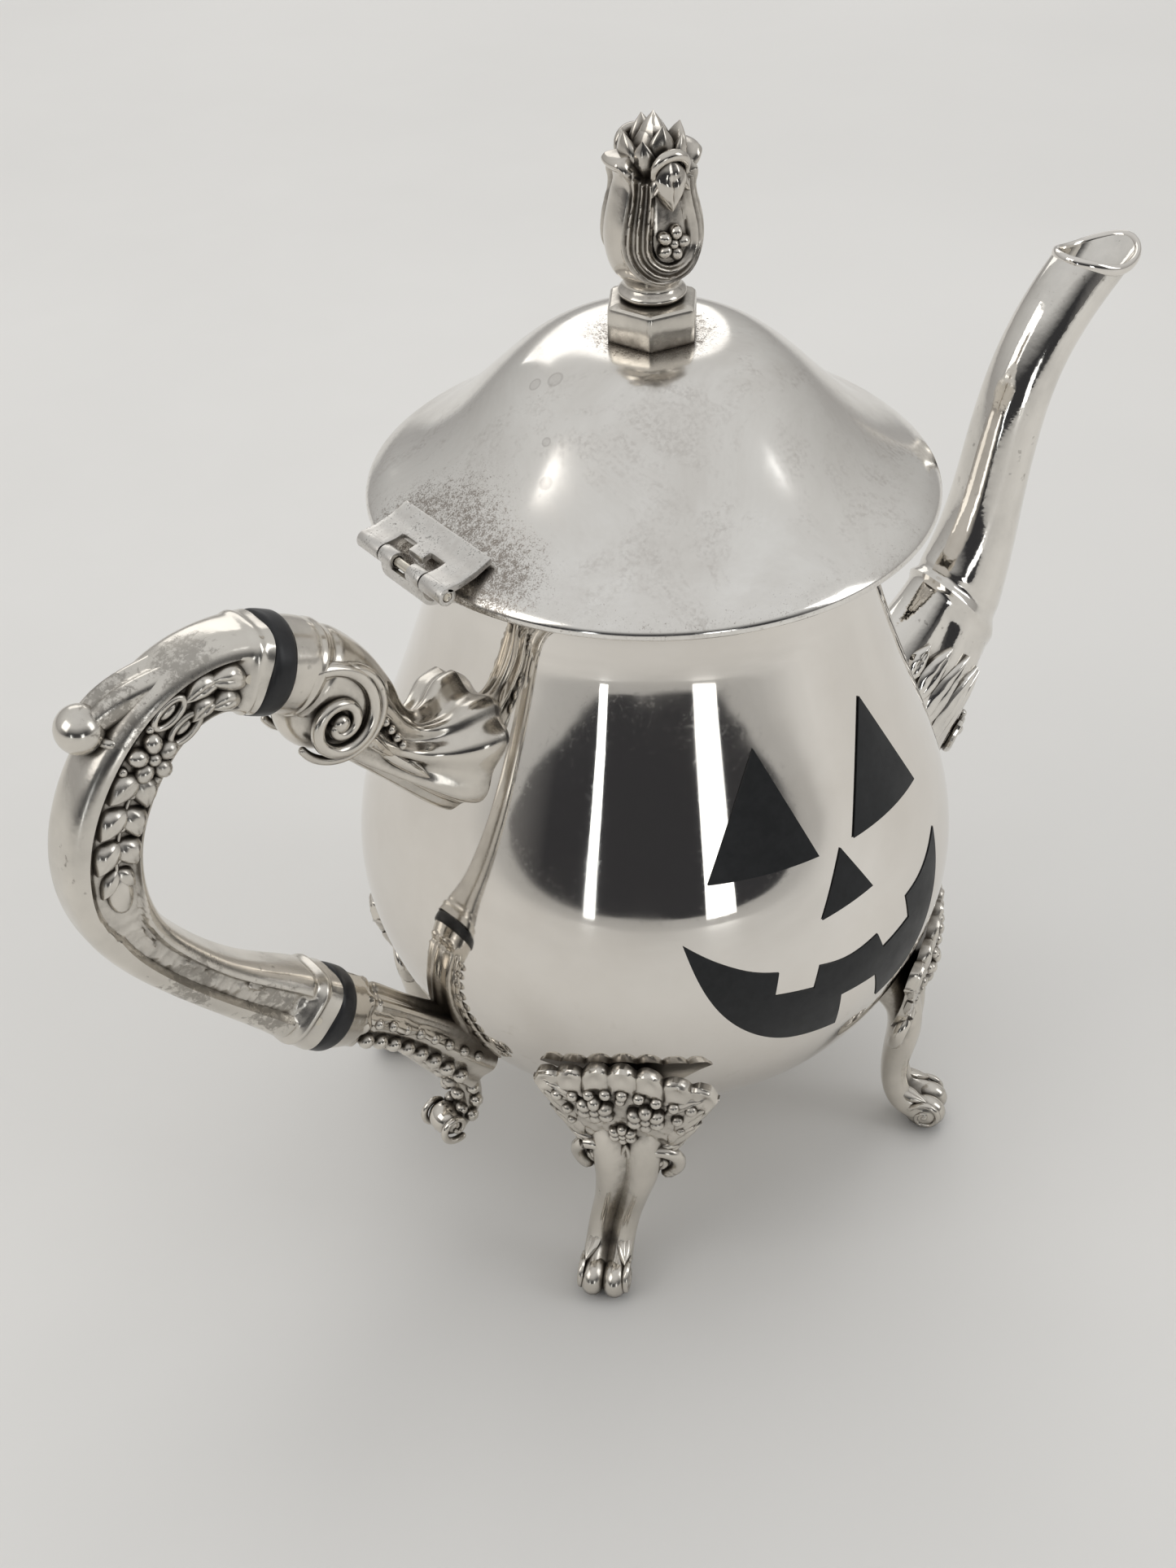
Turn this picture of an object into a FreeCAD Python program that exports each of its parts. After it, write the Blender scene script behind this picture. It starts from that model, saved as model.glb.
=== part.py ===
import FreeCAD, Part
import os, math

# Silver-plated coffee pot on four cast feet, millimetres, +Z up, +X towards the
# spout, -X towards the handle, stickers on the -Y side.  The foot soles are at
# Z = 0.  Everything is laid out about the body's axis and then moved by AXIS_X,
# so that the middle of the whole pot, handle to spout tip, stands at X = 0.

V = FreeCAD.Vector

# ---------------------------------------------------------------- driving dimensions
AXIS_X = -2.2            # body axis along X in the finished part
Z_RIM = 161.0            # lower edge of the lid
R_RIM = 55.0             # outer radius of the lid's edge
Z_LID_TOP = 193.0        # flat seat of the finial
R_LID_SEAT = 8.0
T_LID = 1.0              # lid sheet
Z_BOTTOM = 23.0          # underside of the body
R_BOTTOM = 16.0          # flat of the bottom
T_BODY = 1.2             # body sheet
BODY_PROFILE = [(16.0, 23.0), (26.0, 25.4), (36.0, 31.0), (45.0, 38.8), (52.3, 47.2), (58.2, 58.0),
                (61.9, 69.8), (62.8, 80.0), (61.2, 92.0), (57.3, 104.0), (52.7, 116.0), (47.7, 130.0),
                (43.9, 142.0), (42.4, 149.0), (43.1, 154.5), (45.9, 159.7), (48.6, 163.0)]
LID_PROFILE = [(8.0, 193.0), (13.0, 193.0), (18.7, 191.9), (25.2, 188.0), (32.0, 181.8), (38.6, 175.3),
               (45.0, 170.0), (49.3, 167.2), (52.4, 165.2), (54.2, 163.7)]
Z_MOUTH = 163.0          # top of the body
R_RING_IN, R_RING_OUT, H_RING = 47.3, 49.2, 1.4      # wire at the mouth
R_BEZEL_OUT, T_BEZEL, Z_BEZEL = 42.0, 1.0, 157.5     # locating ring under the lid

HINGE_X, HINGE_Z = -57.3, 165.2
R_PIN, R_KNUCKLE = 0.9, 1.8
HINGE_HALF = 13.2        # half the hinge's width
PIN_CLEAR = 0.05         # radial running clearance in the body's knuckles
KN_LID = (6.6, 13.2)     # lid knuckles, |Y|
KN_BODY = (2.4, 6.3)     # body knuckles, |Y|

R_STUD = 1.5
FINIAL_TIP = 234.7
Z_COLLAR, H_COLLAR = 195.2, 5.2
R_COLLAR, TURN_COLLAR = 9.2, -12.0   # six-sided collar, corner radius and turn
R_BASE_RING = 6.4
BUD_PROFILE = [(5.6, 200.4), (6.3, 201.5), (5.3, 202.9), (5.6, 204.2), (7.0, 206.0), (8.2, 209.0), (8.7, 212.8),
               (8.1, 217.6), (7.2, 222.8), (7.4, 226.6), (7.3, 229.0), (5.8, 231.0), (3.8, 232.8), (1.8, 234.2)]

RING_T = 5.0             # width of a black ring
UP_RING, UP_DIR, R_UP_RING = (-89.2, 158.5), (0.900, -0.436), 9.4
LO_RING, LO_DIR, R_LO_RING = (-86.0, 75.0), (0.740, -0.673), 8.8
R_TENON, L_TENON, R_CROSS_PIN = 4.2, 6.5, 0.9

# handle and sockets: X, Z, half thickness in the XZ plane, half width along Y
HANDLE_PATH = [(-96.4, 161.1, 7.6, 7.0), (-102.4, 161.0, 7.2, 6.6), (-108.6, 158.6, 7.2, 6.4),
               (-115.6, 152.8, 7.4, 6.4), (-120.9, 145.2, 7.6, 6.4), (-124.0, 137.4, 7.6, 6.4),
               (-125.0, 129.2, 7.4, 6.3), (-123.9, 120.8, 6.8, 6.2), (-120.7, 112.9, 6.0, 6.0),
               (-115.4, 105.0, 5.6, 5.8), (-108.0, 96.2, 5.6, 5.8), (-101.2, 89.4, 6.2, 6.0),
               (-94.6, 83.4, 7.2, 6.8)]
THUMB_PATH = [(-106.0, 163.0, 3.5, 4.2), (-112.5, 163.2, 3.4, 4.0), (-118.5, 162.0, 2.9, 3.6), (-122.5, 160.2, 2.4, 3.0)]
THUMB_BALL = (-123.4, 159.8, 5.0)
UPPER_SOCKET = [(-80.4, 153.4, 8.8, 8.0), (-74.5, 145.6, 9.4, 7.9), (-70.2, 138.4, 8.3, 7.0),
                (-66.2, 132.4, 6.8, 6.2), (-61.6, 128.0, 7.2, 6.6), (-56.6, 125.7, 9.8, 8.6),
                (-51.6, 124.7, 12.8, 11.2), (-43.5, 124.3, 14.2, 12.2)]
LOWER_SOCKET = [(-77.4, 68.6, 6.8, 6.5), (-70.0, 62.0, 6.0, 5.6), (-63.6, 55.6, 6.4, 6.0),
                (-57.6, 49.2, 7.8, 7.2), (-47.0, 38.6, 10.0, 8.6)]
TAIL_PATH = [(-66.0, 58.6, 3.4, 3.6), (-60.6, 49.6, 4.0, 4.4), (-55.6, 40.8, 3.6, 4.2), (-53.2, 33.0, 3.2, 3.8),
             (-53.4, 27.2, 2.9, 3.4), (-56.4, 24.4, 2.7, 3.2)]
TAIL_CURL = (-59.0, 25.4, 3.7)                    # X, Z, radius of the curled end

# spout: X, Z, half depth in the XZ plane, half width along Y, direction of the centre line in XZ
SPOUT_PATH = [(44.0, 68.5, 26.5, 13.4, 1.00, 0.12), (60.0, 71.5, 25.0, 12.8, 0.98, 0.20),
              (76.0, 79.5, 22.2, 11.6, 0.92, 0.39), (86.6, 93.6, 16.0, 10.2, 0.83, 0.56),
              (93.0, 107.8, 11.0, 9.2, 0.55, 0.835), (96.8, 121.6, 8.7, 8.4, 0.27, 0.963),
              (100.2, 136.2, 8.1, 8.0, 0.26, 0.966), (104.6, 149.4, 8.0, 7.8, 0.46, 0.89),
              (111.4, 160.2, 8.2, 7.7, 0.58, 0.81), (118.4, 167.2, 9.2, 7.7, 0.45, 0.89),
              (124.4, 172.2, 10.8, 7.8, 0.20, 0.98)]
T_SPOUT = 1.1
SPOUT_HOLE_R, SPOUT_HOLE_Z = 8.5, 68.0
LIP_T, LIP_H = 0.8, 1.2

# feet: distance from the axis, height, half thickness, half width
FOOT_ANGLES = {"foot_rear_spout_side": 43.0, "foot_rear_handle_side": 129.0,
               "foot_front_handle_side": 221.0, "foot_front_spout_side": 310.0}
LEG_PATH = [(50.0, 48.0, 7.0, 9.0), (55.6, 40.0, 4.8, 8.0), (57.2, 31.5, 4.0, 6.8), (56.4, 23.0, 3.4, 5.7),
            (55.8, 14.5, 3.1, 5.3), (58.4, 7.4, 3.5, 5.2), (63.0, 4.6, 4.1, 5.2)]
TOE = (64.0, 4.1, 4.5, 1.4)                       # distance, height, radius, half spacing of the two lobes
FAN_T = 3.0
FAN_PROFILE = [(63.4, 67.0), (63.1, 60.0), (62.0, 51.5), (60.0, 43.0), (57.8, 35.0), (56.2, 29.0)]   # front of the fan: distance, height
FAN_OUTLINE = [(0.0, 65.3), (5.0, 64.7), (9.5, 62.6), (14.0, 61.3), (17.5, 59.2), (19.2, 55.8), (16.5, 52.2),
               (14.5, 47.8), (12.5, 42.3), (10.0, 37.4), (6.0, 32.6), (0.0, 30.5)]
FAN_TURN = {"foot_front_handle_side": 3.7}        # this fan is set a little round from its leg, degrees

# stickers: angle from the face's middle (degrees, + towards the spout), height
FACE_AZ = -91.0
FILM_GAP, FILM_T = 0.05, 0.25
EYE_TURN = 16.3
EYE = [(-11.8, 106.8), (11.8, 106.8), (0.4, 130.3)]
NOSE = [(-6.2, 94.6), (6.6, 96.0), (0.8, 106.4)]
MOUTH = [(-33.2, 95.6), (-28.4, 92.3), (-23.8, 89.6), (-20.0, 87.8), (-15.7, 86.5), (-16.5, 81.2), (-8.6, 79.9),
         (-7.4, 84.9), (-1.5, 83.9), (6.4, 85.0), (8.0, 80.6), (16.0, 82.6), (15.4, 88.2), (20.5, 89.3),
         (25.0, 91.3), (30.0, 94.6), (28.6, 87.6), (26.0, 80.0), (22.6, 73.6), (17.0, 68.4), (9.0, 65.9),
         (6.6, 74.2), (-2.2, 74.5), (-1.8, 65.2), (-7.0, 66.0), (-14.0, 68.0), (-20.0, 71.9), (-26.0, 78.7), (-30.4, 87.4)]


# ---------------------------------------------------------------- helpers
def spline(points, t0=None, t1=None):
    c = Part.BSplineCurve()
    if t0 is not None and t1 is not None:
        c.interpolate(Points=points, InitialTangent=t0, FinalTangent=t1)
    else:
        c.interpolate(points)
    return c


def offset_points(curve, dist, n=40):
    # points of a plane XZ profile moved sideways; positive is to the right of the way it runs
    a, b = curve.FirstParameter, curve.LastParameter
    out = []
    for i in range(n + 1):
        u = a + (b - a) * i / n
        p = curve.value(u)
        t = curve.tangent(u)[0]
        out.append(V(p.x + t.z * dist, 0, p.z - t.x * dist))
    return out


def revolve(edges):
    face = Part.Face(Part.Wire(edges))
    return face.revolve(V(0, 0, 0), V(0, 0, 1), 360)


def line(p, q):
    return Part.makeLine(p, q)


def poly_face(pts):
    return Part.Face(Part.makePolygon(pts + [pts[0]]))


def section(x, z, a, h, tx, tz, n=20):
    # closed oval at right angles to the direction (tx, tz)
    m = math.hypot(tx, tz)
    tx, tz = tx / m, tz / m
    pts = []
    for i in range(n):
        w = 2 * math.pi * i / n
        k = a * math.cos(w)
        pts.append(V(x - tz * k, h * math.sin(w), z + tx * k))
    h1, h2 = pts[:n // 2 + 1], pts[n // 2:] + [pts[0]]
    up, dn = V(0, 1, 0), V(0, -1, 0)
    return Part.Wire([spline(h1, up, dn).toShape(), spline(h2, dn, up).toShape()])


def directions(pts, first=None, last=None):
    out = []
    for i in range(len(pts)):
        if i == 0 and first:
            out.append(first)
            continue
        if i == len(pts) - 1 and last:
            out.append(last)
            continue
        p, q = pts[max(i - 1, 0)], pts[min(i + 1, len(pts) - 1)]
        out.append((q[0] - p[0], q[1] - p[1]))
    return out


def tube(stations, first=None, last=None):
    d = directions(stations, first, last)
    return Part.makeLoft([section(s[0], s[1], s[2], s[3], t[0], t[1]) for s, t in zip(stations, d)], True, False)


def cyl(r, length, base, direction):
    return Part.makeCylinder(r, length, base, direction)


def one(shape, name):
    shape = shape.removeSplitter()
    s = shape.Solids
    if len(s) != 1 or not s[0].isValid():
        print("CHECK", name, len(s), [x.isValid() for x in s], [round(x.Volume, 2) for x in s])
    return max(s, key=lambda x: x.Volume)


parts = {}

# ---------------------------------------------------------------- body
prof = [V(r, 0, z) for r, z in BODY_PROFILE]
outer = spline(prof, V(1, 0, 0.02), V(0.66, 0, 0.75))
inner_pts = offset_points(outer, -T_BODY)
inner_pts[0] = V(R_BOTTOM, 0, Z_BOTTOM + T_BODY)
inner_pts[-1] = V(R_RING_IN, 0, Z_MOUTH)
inner = spline(inner_pts, V(1, 0, 0.02), V(0.66, 0, 0.75))
p_top, p_low = prof[-1], prof[0]
body_solid = revolve([outer.toShape(), line(p_top, V(0, 0, p_top.z)), line(V(0, 0, p_top.z), V(0, 0, Z_BOTTOM)),
                      line(V(0, 0, Z_BOTTOM), p_low)])
cavity = revolve([inner.toShape(), line(inner_pts[-1], V(0, 0, Z_MOUTH)), line(V(0, 0, Z_MOUTH), V(0, 0, Z_BOTTOM + T_BODY)),
                  line(V(0, 0, Z_BOTTOM + T_BODY), inner_pts[0])])
shell = body_solid.cut(cavity)
hole = cyl(SPOUT_HOLE_R, 40, V(40, 0, SPOUT_HOLE_Z), V(1, 0, 0))
parts["body_shell"] = one(shell.cut(hole), "body_shell")

ring_pts = [V(R_RING_IN, 0, Z_MOUTH), V(R_RING_OUT, 0, Z_MOUTH), V(R_RING_OUT + 0.3, 0, Z_MOUTH + 0.7), V(R_RING_OUT, 0, Z_MOUTH + H_RING),
            V(R_RING_IN + 0.5, 0, Z_MOUTH + H_RING), V(R_RING_IN, 0, Z_MOUTH + 0.8)]
parts["mouth_ring"] = one(poly_face(ring_pts).revolve(V(0, 0, 0), V(0, 0, 1), 360), "mouth_ring")

# ---------------------------------------------------------------- spout
tip = SPOUT_PATH[-1]


def half_oval(x, z, a, h, tx, tz, side, n=10):
    # outer section of one spout half, closed on the centre plane
    m = math.hypot(tx, tz)
    tx, tz = tx / m, tz / m
    o = [V(x - tz * a * math.cos(math.pi * i / n), side * h * math.sin(math.pi * i / n), z + tx * a * math.cos(math.pi * i / n))
         for i in range(n + 1)]
    o[0].y = o[-1].y = 0.0
    return Part.Wire([spline(o, V(0, side, 0), V(0, -side, 0)).toShape(), line(o[-1], o[0])])


def bore_oval(x, z, a, h, tx, tz, n=20):
    # section of the bore, with its joins at the sides, off the centre plane
    m = math.hypot(tx, tz)
    tx, tz = tx / m, tz / m
    pts = [V(x - tz * a * math.sin(2 * math.pi * i / n), h * math.cos(2 * math.pi * i / n), z + tx * a * math.sin(2 * math.pi * i / n))
           for i in range(n)]
    up, dn = V(-tz, 0, tx), V(tz, 0, -tx)
    return Part.Wire([spline(pts[:n // 2 + 1], up, dn).toShape(), spline(pts[n // 2:] + [pts[0]], dn, up).toShape()])


# the bore is carried past the tip so that the mouth is open
m = math.hypot(tip[4], tip[5])
past = (tip[0] + 3 * tip[4] / m, tip[1] + 3 * tip[5] / m, tip[2] + 0.4, tip[3] + 0.2, tip[4], tip[5])
first = (SPOUT_PATH[0][0] - 1.0, SPOUT_PATH[0][1] - 0.12) + SPOUT_PATH[0][2:]
bore = Part.makeLoft([bore_oval(q[0], q[1], q[2] - T_SPOUT, q[3] - T_SPOUT, q[4], q[5])
                      for q in [first] + SPOUT_PATH[1:] + [past]], True, False)
for name, side in (("spout_left_half", -1), ("spout_right_half", 1)):
    wall = Part.makeLoft([half_oval(*st, side) for st in SPOUT_PATH], True, False).cut(body_solid).cut(bore)
    parts[name] = one(max(wall.Solids, key=lambda q: q.BoundBox.ZMax), name)

nx, nz = tip[4] / m * LIP_H, tip[5] / m * LIP_H


def oval_bar(grow):
    return Part.makeLoft([section(tip[0], tip[1], tip[2] + grow, tip[3] + grow, tip[4], tip[5]),
                          section(tip[0] + nx, tip[1] + nz, tip[2] + grow, tip[3] + grow, tip[4], tip[5])], True, True)


parts["spout_lip"] = one(oval_bar(LIP_T).cut(oval_bar(-T_SPOUT)), "spout_lip")

# ---------------------------------------------------------------- feet
fan_front = [V(r, 0, z) for r, z in FAN_PROFILE]
fan_back = [V(p.x - FAN_T, 0, p.z) for p in fan_front]
fan_skin = revolve([spline(fan_front).toShape(), line(fan_front[-1], fan_back[-1]), spline(fan_back).toShape(),
                    line(fan_back[0], fan_front[0])]).cut(body_solid)
half = [V(0, t, z) for t, z in FAN_OUTLINE]
outline = half + [V(0, -p.y, p.z) for p in reversed(half[1:-1])]
fan = poly_face(outline).extrude(V(90, 0, 0)).common(fan_skin)
fan = max(fan.Solids, key=lambda s: s.BoundBox.XMax)
leg = tube(LEG_PATH, (0.55, -0.83), (1.0, -0.1)).cut(body_solid)
leg = min(leg.Solids, key=lambda s: s.BoundBox.ZMin)
td, tz, tr, ts = TOE
toe = Part.makeSphere(tr, V(td, ts, tz)).fuse(Part.makeSphere(tr, V(td, -ts, tz)))
for name, ang in FOOT_ANGLES.items():
    turned = fan.copy()
    turned.rotate(V(0, 0, 0), V(0, 0, 1), FAN_TURN.get(name, 0.0))
    foot = leg.fuse(toe).fuse(turned)
    foot = one(foot.cut(Part.makeBox(300, 300, 50, V(-150, -150, -50))), name)
    foot.rotate(V(0, 0, 0), V(0, 0, 1), ang)
    parts[name] = foot

# ---------------------------------------------------------------- handle, sockets, black rings
def at(c, d, k):
    return (c[0] + d[0] * k, c[1] + d[1] * k)


def vec(p, y=0.0):
    return V(p[0], y, p[1])


up_l, up_r = at(UP_RING, UP_DIR, -RING_T / 2), at(UP_RING, UP_DIR, RING_T / 2)
lo_l, lo_r = at(LO_RING, LO_DIR, -RING_T / 2), at(LO_RING, LO_DIR, RING_T / 2)
handle_st = [(up_l[0], up_l[1], 8.4, 8.2)] + HANDLE_PATH + [(lo_l[0], lo_l[1], 8.2, 8.0)]
grip = tube(handle_st, (-UP_DIR[0], -UP_DIR[1]), LO_DIR)
thumb = tube(THUMB_PATH).fuse(Part.makeSphere(THUMB_BALL[2], V(THUMB_BALL[0], 0, THUMB_BALL[1])))
grip_full = grip.fuse(thumb)
up_sock_full = tube([(up_r[0], up_r[1], 8.4, 8.2)] + UPPER_SOCKET, UP_DIR, (1.0, 0.0)).cut(body_solid)
up_sock_full = min(up_sock_full.Solids, key=lambda s: s.BoundBox.XMin)
lo_main = tube([(lo_r[0], lo_r[1], 8.1, 7.9)] + LOWER_SOCKET, LO_DIR, (0.72, -0.69))
tail = tube(TAIL_PATH)
lo_main = min(lo_main.cut(body_solid).Solids, key=lambda s: s.BoundBox.XMin)
curl = Part.makeSphere(TAIL_CURL[2], V(TAIL_CURL[0], 0, TAIL_CURL[1]))
lo_sock_full = lo_main.fuse(tail).fuse(curl)
lo_sock_full = min(lo_sock_full.Solids, key=lambda s: s.BoundBox.XMin)


def ring_set(centre, direction, radius, left, right):
    # ring with a tenon each side, and a cross pin through each tenon
    d = V(direction[0], 0, direction[1]).normalize()
    a = vec(at(centre, direction, -RING_T / 2))
    b = vec(at(centre, direction, RING_T / 2))
    disc = cyl(radius, RING_T, a, d)
    disc = disc.makeFillet(0.6, [e for e in disc.Edges if e.Closed and e.Curve.TypeId == "Part::GeomCircle"])
    ten_l = ten_r = cyl(R_TENON, RING_T + 2 * L_TENON, a - d * L_TENON, d)
    pin_l = cyl(R_CROSS_PIN, 40, a - d * (L_TENON * 0.5) - V(0, 20, 0), V(0, 1, 0))
    pin_r = cyl(R_CROSS_PIN, 40, b + d * (L_TENON * 0.5) - V(0, 20, 0), V(0, 1, 0))
    core = cyl(R_TENON, RING_T + 2 * L_TENON, a - d * L_TENON, d)
    ring = disc.fuse(core).cut(pin_l).cut(pin_r)
    pins = Part.makeCompound([pin_l.common(left).Solids[0], pin_r.common(right).Solids[0]])
    return ring, pins, left.cut(ten_l).cut(pin_l), right.cut(ten_r).cut(pin_r)


u_ring, u_pins, grip_a, up_sock = ring_set(UP_RING, UP_DIR, R_UP_RING, grip_full, up_sock_full)
l_ring, l_pins, grip_b, lo_sock = ring_set(LO_RING, LO_DIR, R_LO_RING, grip_a, lo_sock_full)
parts["upper_insulator"] = one(u_ring, "upper_insulator")
parts["lower_insulator"] = one(l_ring, "lower_insulator")
parts["upper_insulator_pins"] = u_pins
parts["lower_insulator_pins"] = l_pins
parts["handle_grip"] = one(grip_b, "handle_grip")
parts["upper_handle_socket"] = one(up_sock, "upper_handle_socket")
parts["lower_handle_socket"] = one(lo_sock, "lower_handle_socket")

# ---------------------------------------------------------------- lid
lid_pts = [V(r, 0, z) for r, z in LID_PROFILE]
lid_curve = spline(lid_pts, V(1, 0, 0.0), V(0.62, 0, -0.78))
under_pts = offset_points(lid_curve, T_LID, 40)
under_pts[0] = V(R_LID_SEAT, 0, Z_LID_TOP - T_LID)
under = spline(under_pts, V(1, 0, 0.0), V(0.62, 0, -0.78))
e_o, e_i = lid_pts[-1], under_pts[-1]
# rolled edge: a small bead that closes the sheet
edge = [e_o, V(R_RIM, 0, 162.7), V(R_RIM + 0.15, 0, 161.9), V(R_RIM - 0.2, 0, 161.2), V(R_RIM - 0.9, 0, Z_RIM),
        V(R_RIM - 1.6, 0, 161.3), V(R_RIM - 1.8, 0, 162.2), e_i]
lid_edges = [lid_curve.toShape()] + [line(p, q) for p, q in zip(edge[:-1], edge[1:])]
lid_edges += [under.toShape(), line(under_pts[0], V(0, 0, Z_LID_TOP - T_LID)),
              line(V(0, 0, Z_LID_TOP - T_LID), V(0, 0, Z_LID_TOP)), line(V(0, 0, Z_LID_TOP), lid_pts[0])]
lid = revolve(Part.__sortEdges__(lid_edges))
stud_hole = cyl(R_STUD, 60, V(0, 0, 180), V(0, 0, 1))
parts["lid_shell"] = one(lid.cut(stud_hole), "lid_shell")
lid_outer = revolve(Part.__sortEdges__([lid_curve.toShape(), line(e_o, V(R_RIM + 0.15, 0, 161.9)), line(V(R_RIM + 0.15, 0, 161.9), V(R_RIM - 0.9, 0, Z_RIM)),
                    line(V(R_RIM - 0.9, 0, Z_RIM), V(0, 0, Z_RIM)),
                    line(V(0, 0, Z_RIM), V(0, 0, Z_LID_TOP)), line(V(0, 0, Z_LID_TOP), lid_pts[0])]))
under_solid = revolve(Part.__sortEdges__([under.toShape(), line(e_i, V(e_i.x, 0, 150)), line(V(e_i.x, 0, 150), V(0, 0, 150)),
                      line(V(0, 0, 150), V(0, 0, Z_LID_TOP - T_LID)), line(V(0, 0, Z_LID_TOP - T_LID), under_pts[0])]))
bez = Part.makeCylinder(R_BEZEL_OUT, 40, V(0, 0, Z_BEZEL)).cut(Part.makeCylinder(R_BEZEL_OUT - T_BEZEL, 40, V(0, 0, Z_BEZEL)))
parts["lid_bezel"] = one(bez.common(under_solid), "lid_bezel")

# ---------------------------------------------------------------- hinge
def along_y(pts, y0, y1):
    return poly_face([V(x, y0, z) for x, z in pts]).extrude(V(0, y1 - y0, 0))


axis = V(HINGE_X, 0, HINGE_Z)
pin = cyl(R_PIN, 2 * HINGE_HALF, V(HINGE_X, -HINGE_HALF, HINGE_Z), V(0, 1, 0))
parts["hinge_pin"] = one(pin, "hinge_pin")

PLATE = [(HINGE_X, HINGE_Z + R_KNUCKLE), (HINGE_X + 0.4, HINGE_Z - 0.4), (-53.4, 163.6), (-47.6, 166.5), (-47.6, 169.5), (-51.0, 168.0), (-54.6, 167.1)]
plate = along_y(PLATE, -HINGE_HALF, HINGE_HALF).cut(lid_outer)
plate = max(plate.Solids, key=lambda s: s.Volume)
notch = Part.makeBox(6.4, 2 * (KN_BODY[1] + 0.3), 12, V(HINGE_X - 4.0, -(KN_BODY[1] + 0.3), 160))
tongue_gap = along_y([(HINGE_X - 3, 160), (HINGE_X + 2.0, 160), (HINGE_X + 2.0, 175), (HINGE_X - 3, 175)], -2.1, 2.1)
notch_deep = Part.makeBox(8.2, KN_BODY[1] - KN_BODY[0] + 0.6, 14, V(HINGE_X - 4.0, KN_BODY[0] - 0.3, 160))
notch_deep2 = Part.makeBox(8.2, KN_BODY[1] - KN_BODY[0] + 0.6, 14, V(HINGE_X - 4.0, -KN_BODY[1] - 0.3, 160))
leaf = plate.cut(notch).cut(notch_deep).cut(notch_deep2)
for s in (1, -1):
    y0 = KN_LID[0] if s > 0 else -KN_LID[1]
    leaf = leaf.fuse(cyl(R_KNUCKLE, KN_LID[1] - KN_LID[0], V(HINGE_X, y0, HINGE_Z), V(0, 1, 0)))
leaf = leaf.cut(pin)
parts["hinge_lid_leaf"] = one(leaf, "hinge_lid_leaf")

TAB = [(HINGE_X - R_KNUCKLE, HINGE_Z), (HINGE_X - R_KNUCKLE, 159.0), (HINGE_X - 0.4, 158.2), (-40.0, 155.4), (-40.0, 156.6),
       (HINGE_X + 0.2, 159.6), (HINGE_X - 0.6, 160.2), (HINGE_X - 0.6, HINGE_Z)]
back = along_y(TAB, -KN_BODY[1], KN_BODY[1]).cut(body_solid).cut(cavity)
back = min(back.Solids, key=lambda s: s.BoundBox.XMin)
gap = Part.makeBox(8, 2 * KN_BODY[0], 12, V(HINGE_X - 4.0, -KN_BODY[0], 161.6))
back = back.cut(gap)
for s in (1, -1):
    y0 = KN_BODY[0] if s > 0 else -KN_BODY[1]
    back = back.fuse(cyl(R_KNUCKLE, KN_BODY[1] - KN_BODY[0], V(HINGE_X, y0, HINGE_Z), V(0, 1, 0)))
back = back.cut(cyl(R_PIN + PIN_CLEAR, 2 * HINGE_HALF, V(HINGE_X, -HINGE_HALF, HINGE_Z), V(0, 1, 0)))
parts["hinge_body_leaf"] = one(back, "hinge_body_leaf")

# ---------------------------------------------------------------- finial
br = [V(R_STUD, 0, Z_LID_TOP), V(R_BASE_RING - 0.5, 0, Z_LID_TOP), V(R_BASE_RING, 0, Z_LID_TOP + 0.8), V(R_BASE_RING - 0.5, 0, Z_LID_TOP + 1.7),
      V(R_BASE_RING - 0.9, 0, Z_COLLAR), V(R_STUD, 0, Z_COLLAR)]
parts["finial_base_ring"] = one(poly_face(br).revolve(V(0, 0, 0), V(0, 0, 1), 360), "finial_base_ring")
six = []
for i in range(6):
    w = math.radians(TURN_COLLAR + 60 * i)
    six.append(V(R_COLLAR * math.cos(w), R_COLLAR * math.sin(w), Z_COLLAR))
collar = poly_face(six).extrude(V(0, 0, H_COLLAR))
trim = [V(0, 0, Z_COLLAR), V(R_COLLAR - 2.4, 0, Z_COLLAR), V(R_COLLAR + 0.2, 0, Z_COLLAR + 1.5), V(R_COLLAR + 0.2, 0, Z_COLLAR + H_COLLAR - 1.5),
        V(R_COLLAR - 2.4, 0, Z_COLLAR + H_COLLAR), V(0, 0, Z_COLLAR + H_COLLAR)]
collar = collar.common(poly_face(trim).revolve(V(0, 0, 0), V(0, 0, 1), 360)).cut(stud_hole)
parts["finial_collar"] = one(collar, "finial_collar")
bud_pts = [V(r, 0, z) for r, z in BUD_PROFILE]
bud_curve = spline(bud_pts)
bud = revolve([bud_curve.toShape(), line(bud_pts[-1], V(0, 0, FINIAL_TIP)), line(V(0, 0, FINIAL_TIP), V(0, 0, bud_pts[0].z)),
               line(V(0, 0, bud_pts[0].z), bud_pts[0])])
STUD_TOP, STUD_LOW = 213.0, 185.5
stud = cyl(R_STUD, STUD_TOP - STUD_LOW, V(0, 0, STUD_LOW), V(0, 0, 1))
parts["finial_bud"] = one(bud.cut(stud), "finial_bud")
parts["finial_stud"] = one(stud, "finial_stud")
z_under = Z_LID_TOP - T_LID
washer = Part.makeCylinder(5.0, 0.8, V(0, 0, z_under - 0.8)).cut(stud)
parts["finial_washer"] = one(washer, "finial_washer")
hexa = [V(3.2 * math.cos(math.pi * i / 3), 3.2 * math.sin(math.pi * i / 3), z_under - 0.8 - 2.6) for i in range(6)]
parts["finial_nut"] = one(poly_face(hexa).extrude(V(0, 0, 2.6)).cut(stud), "finial_nut")

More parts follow.
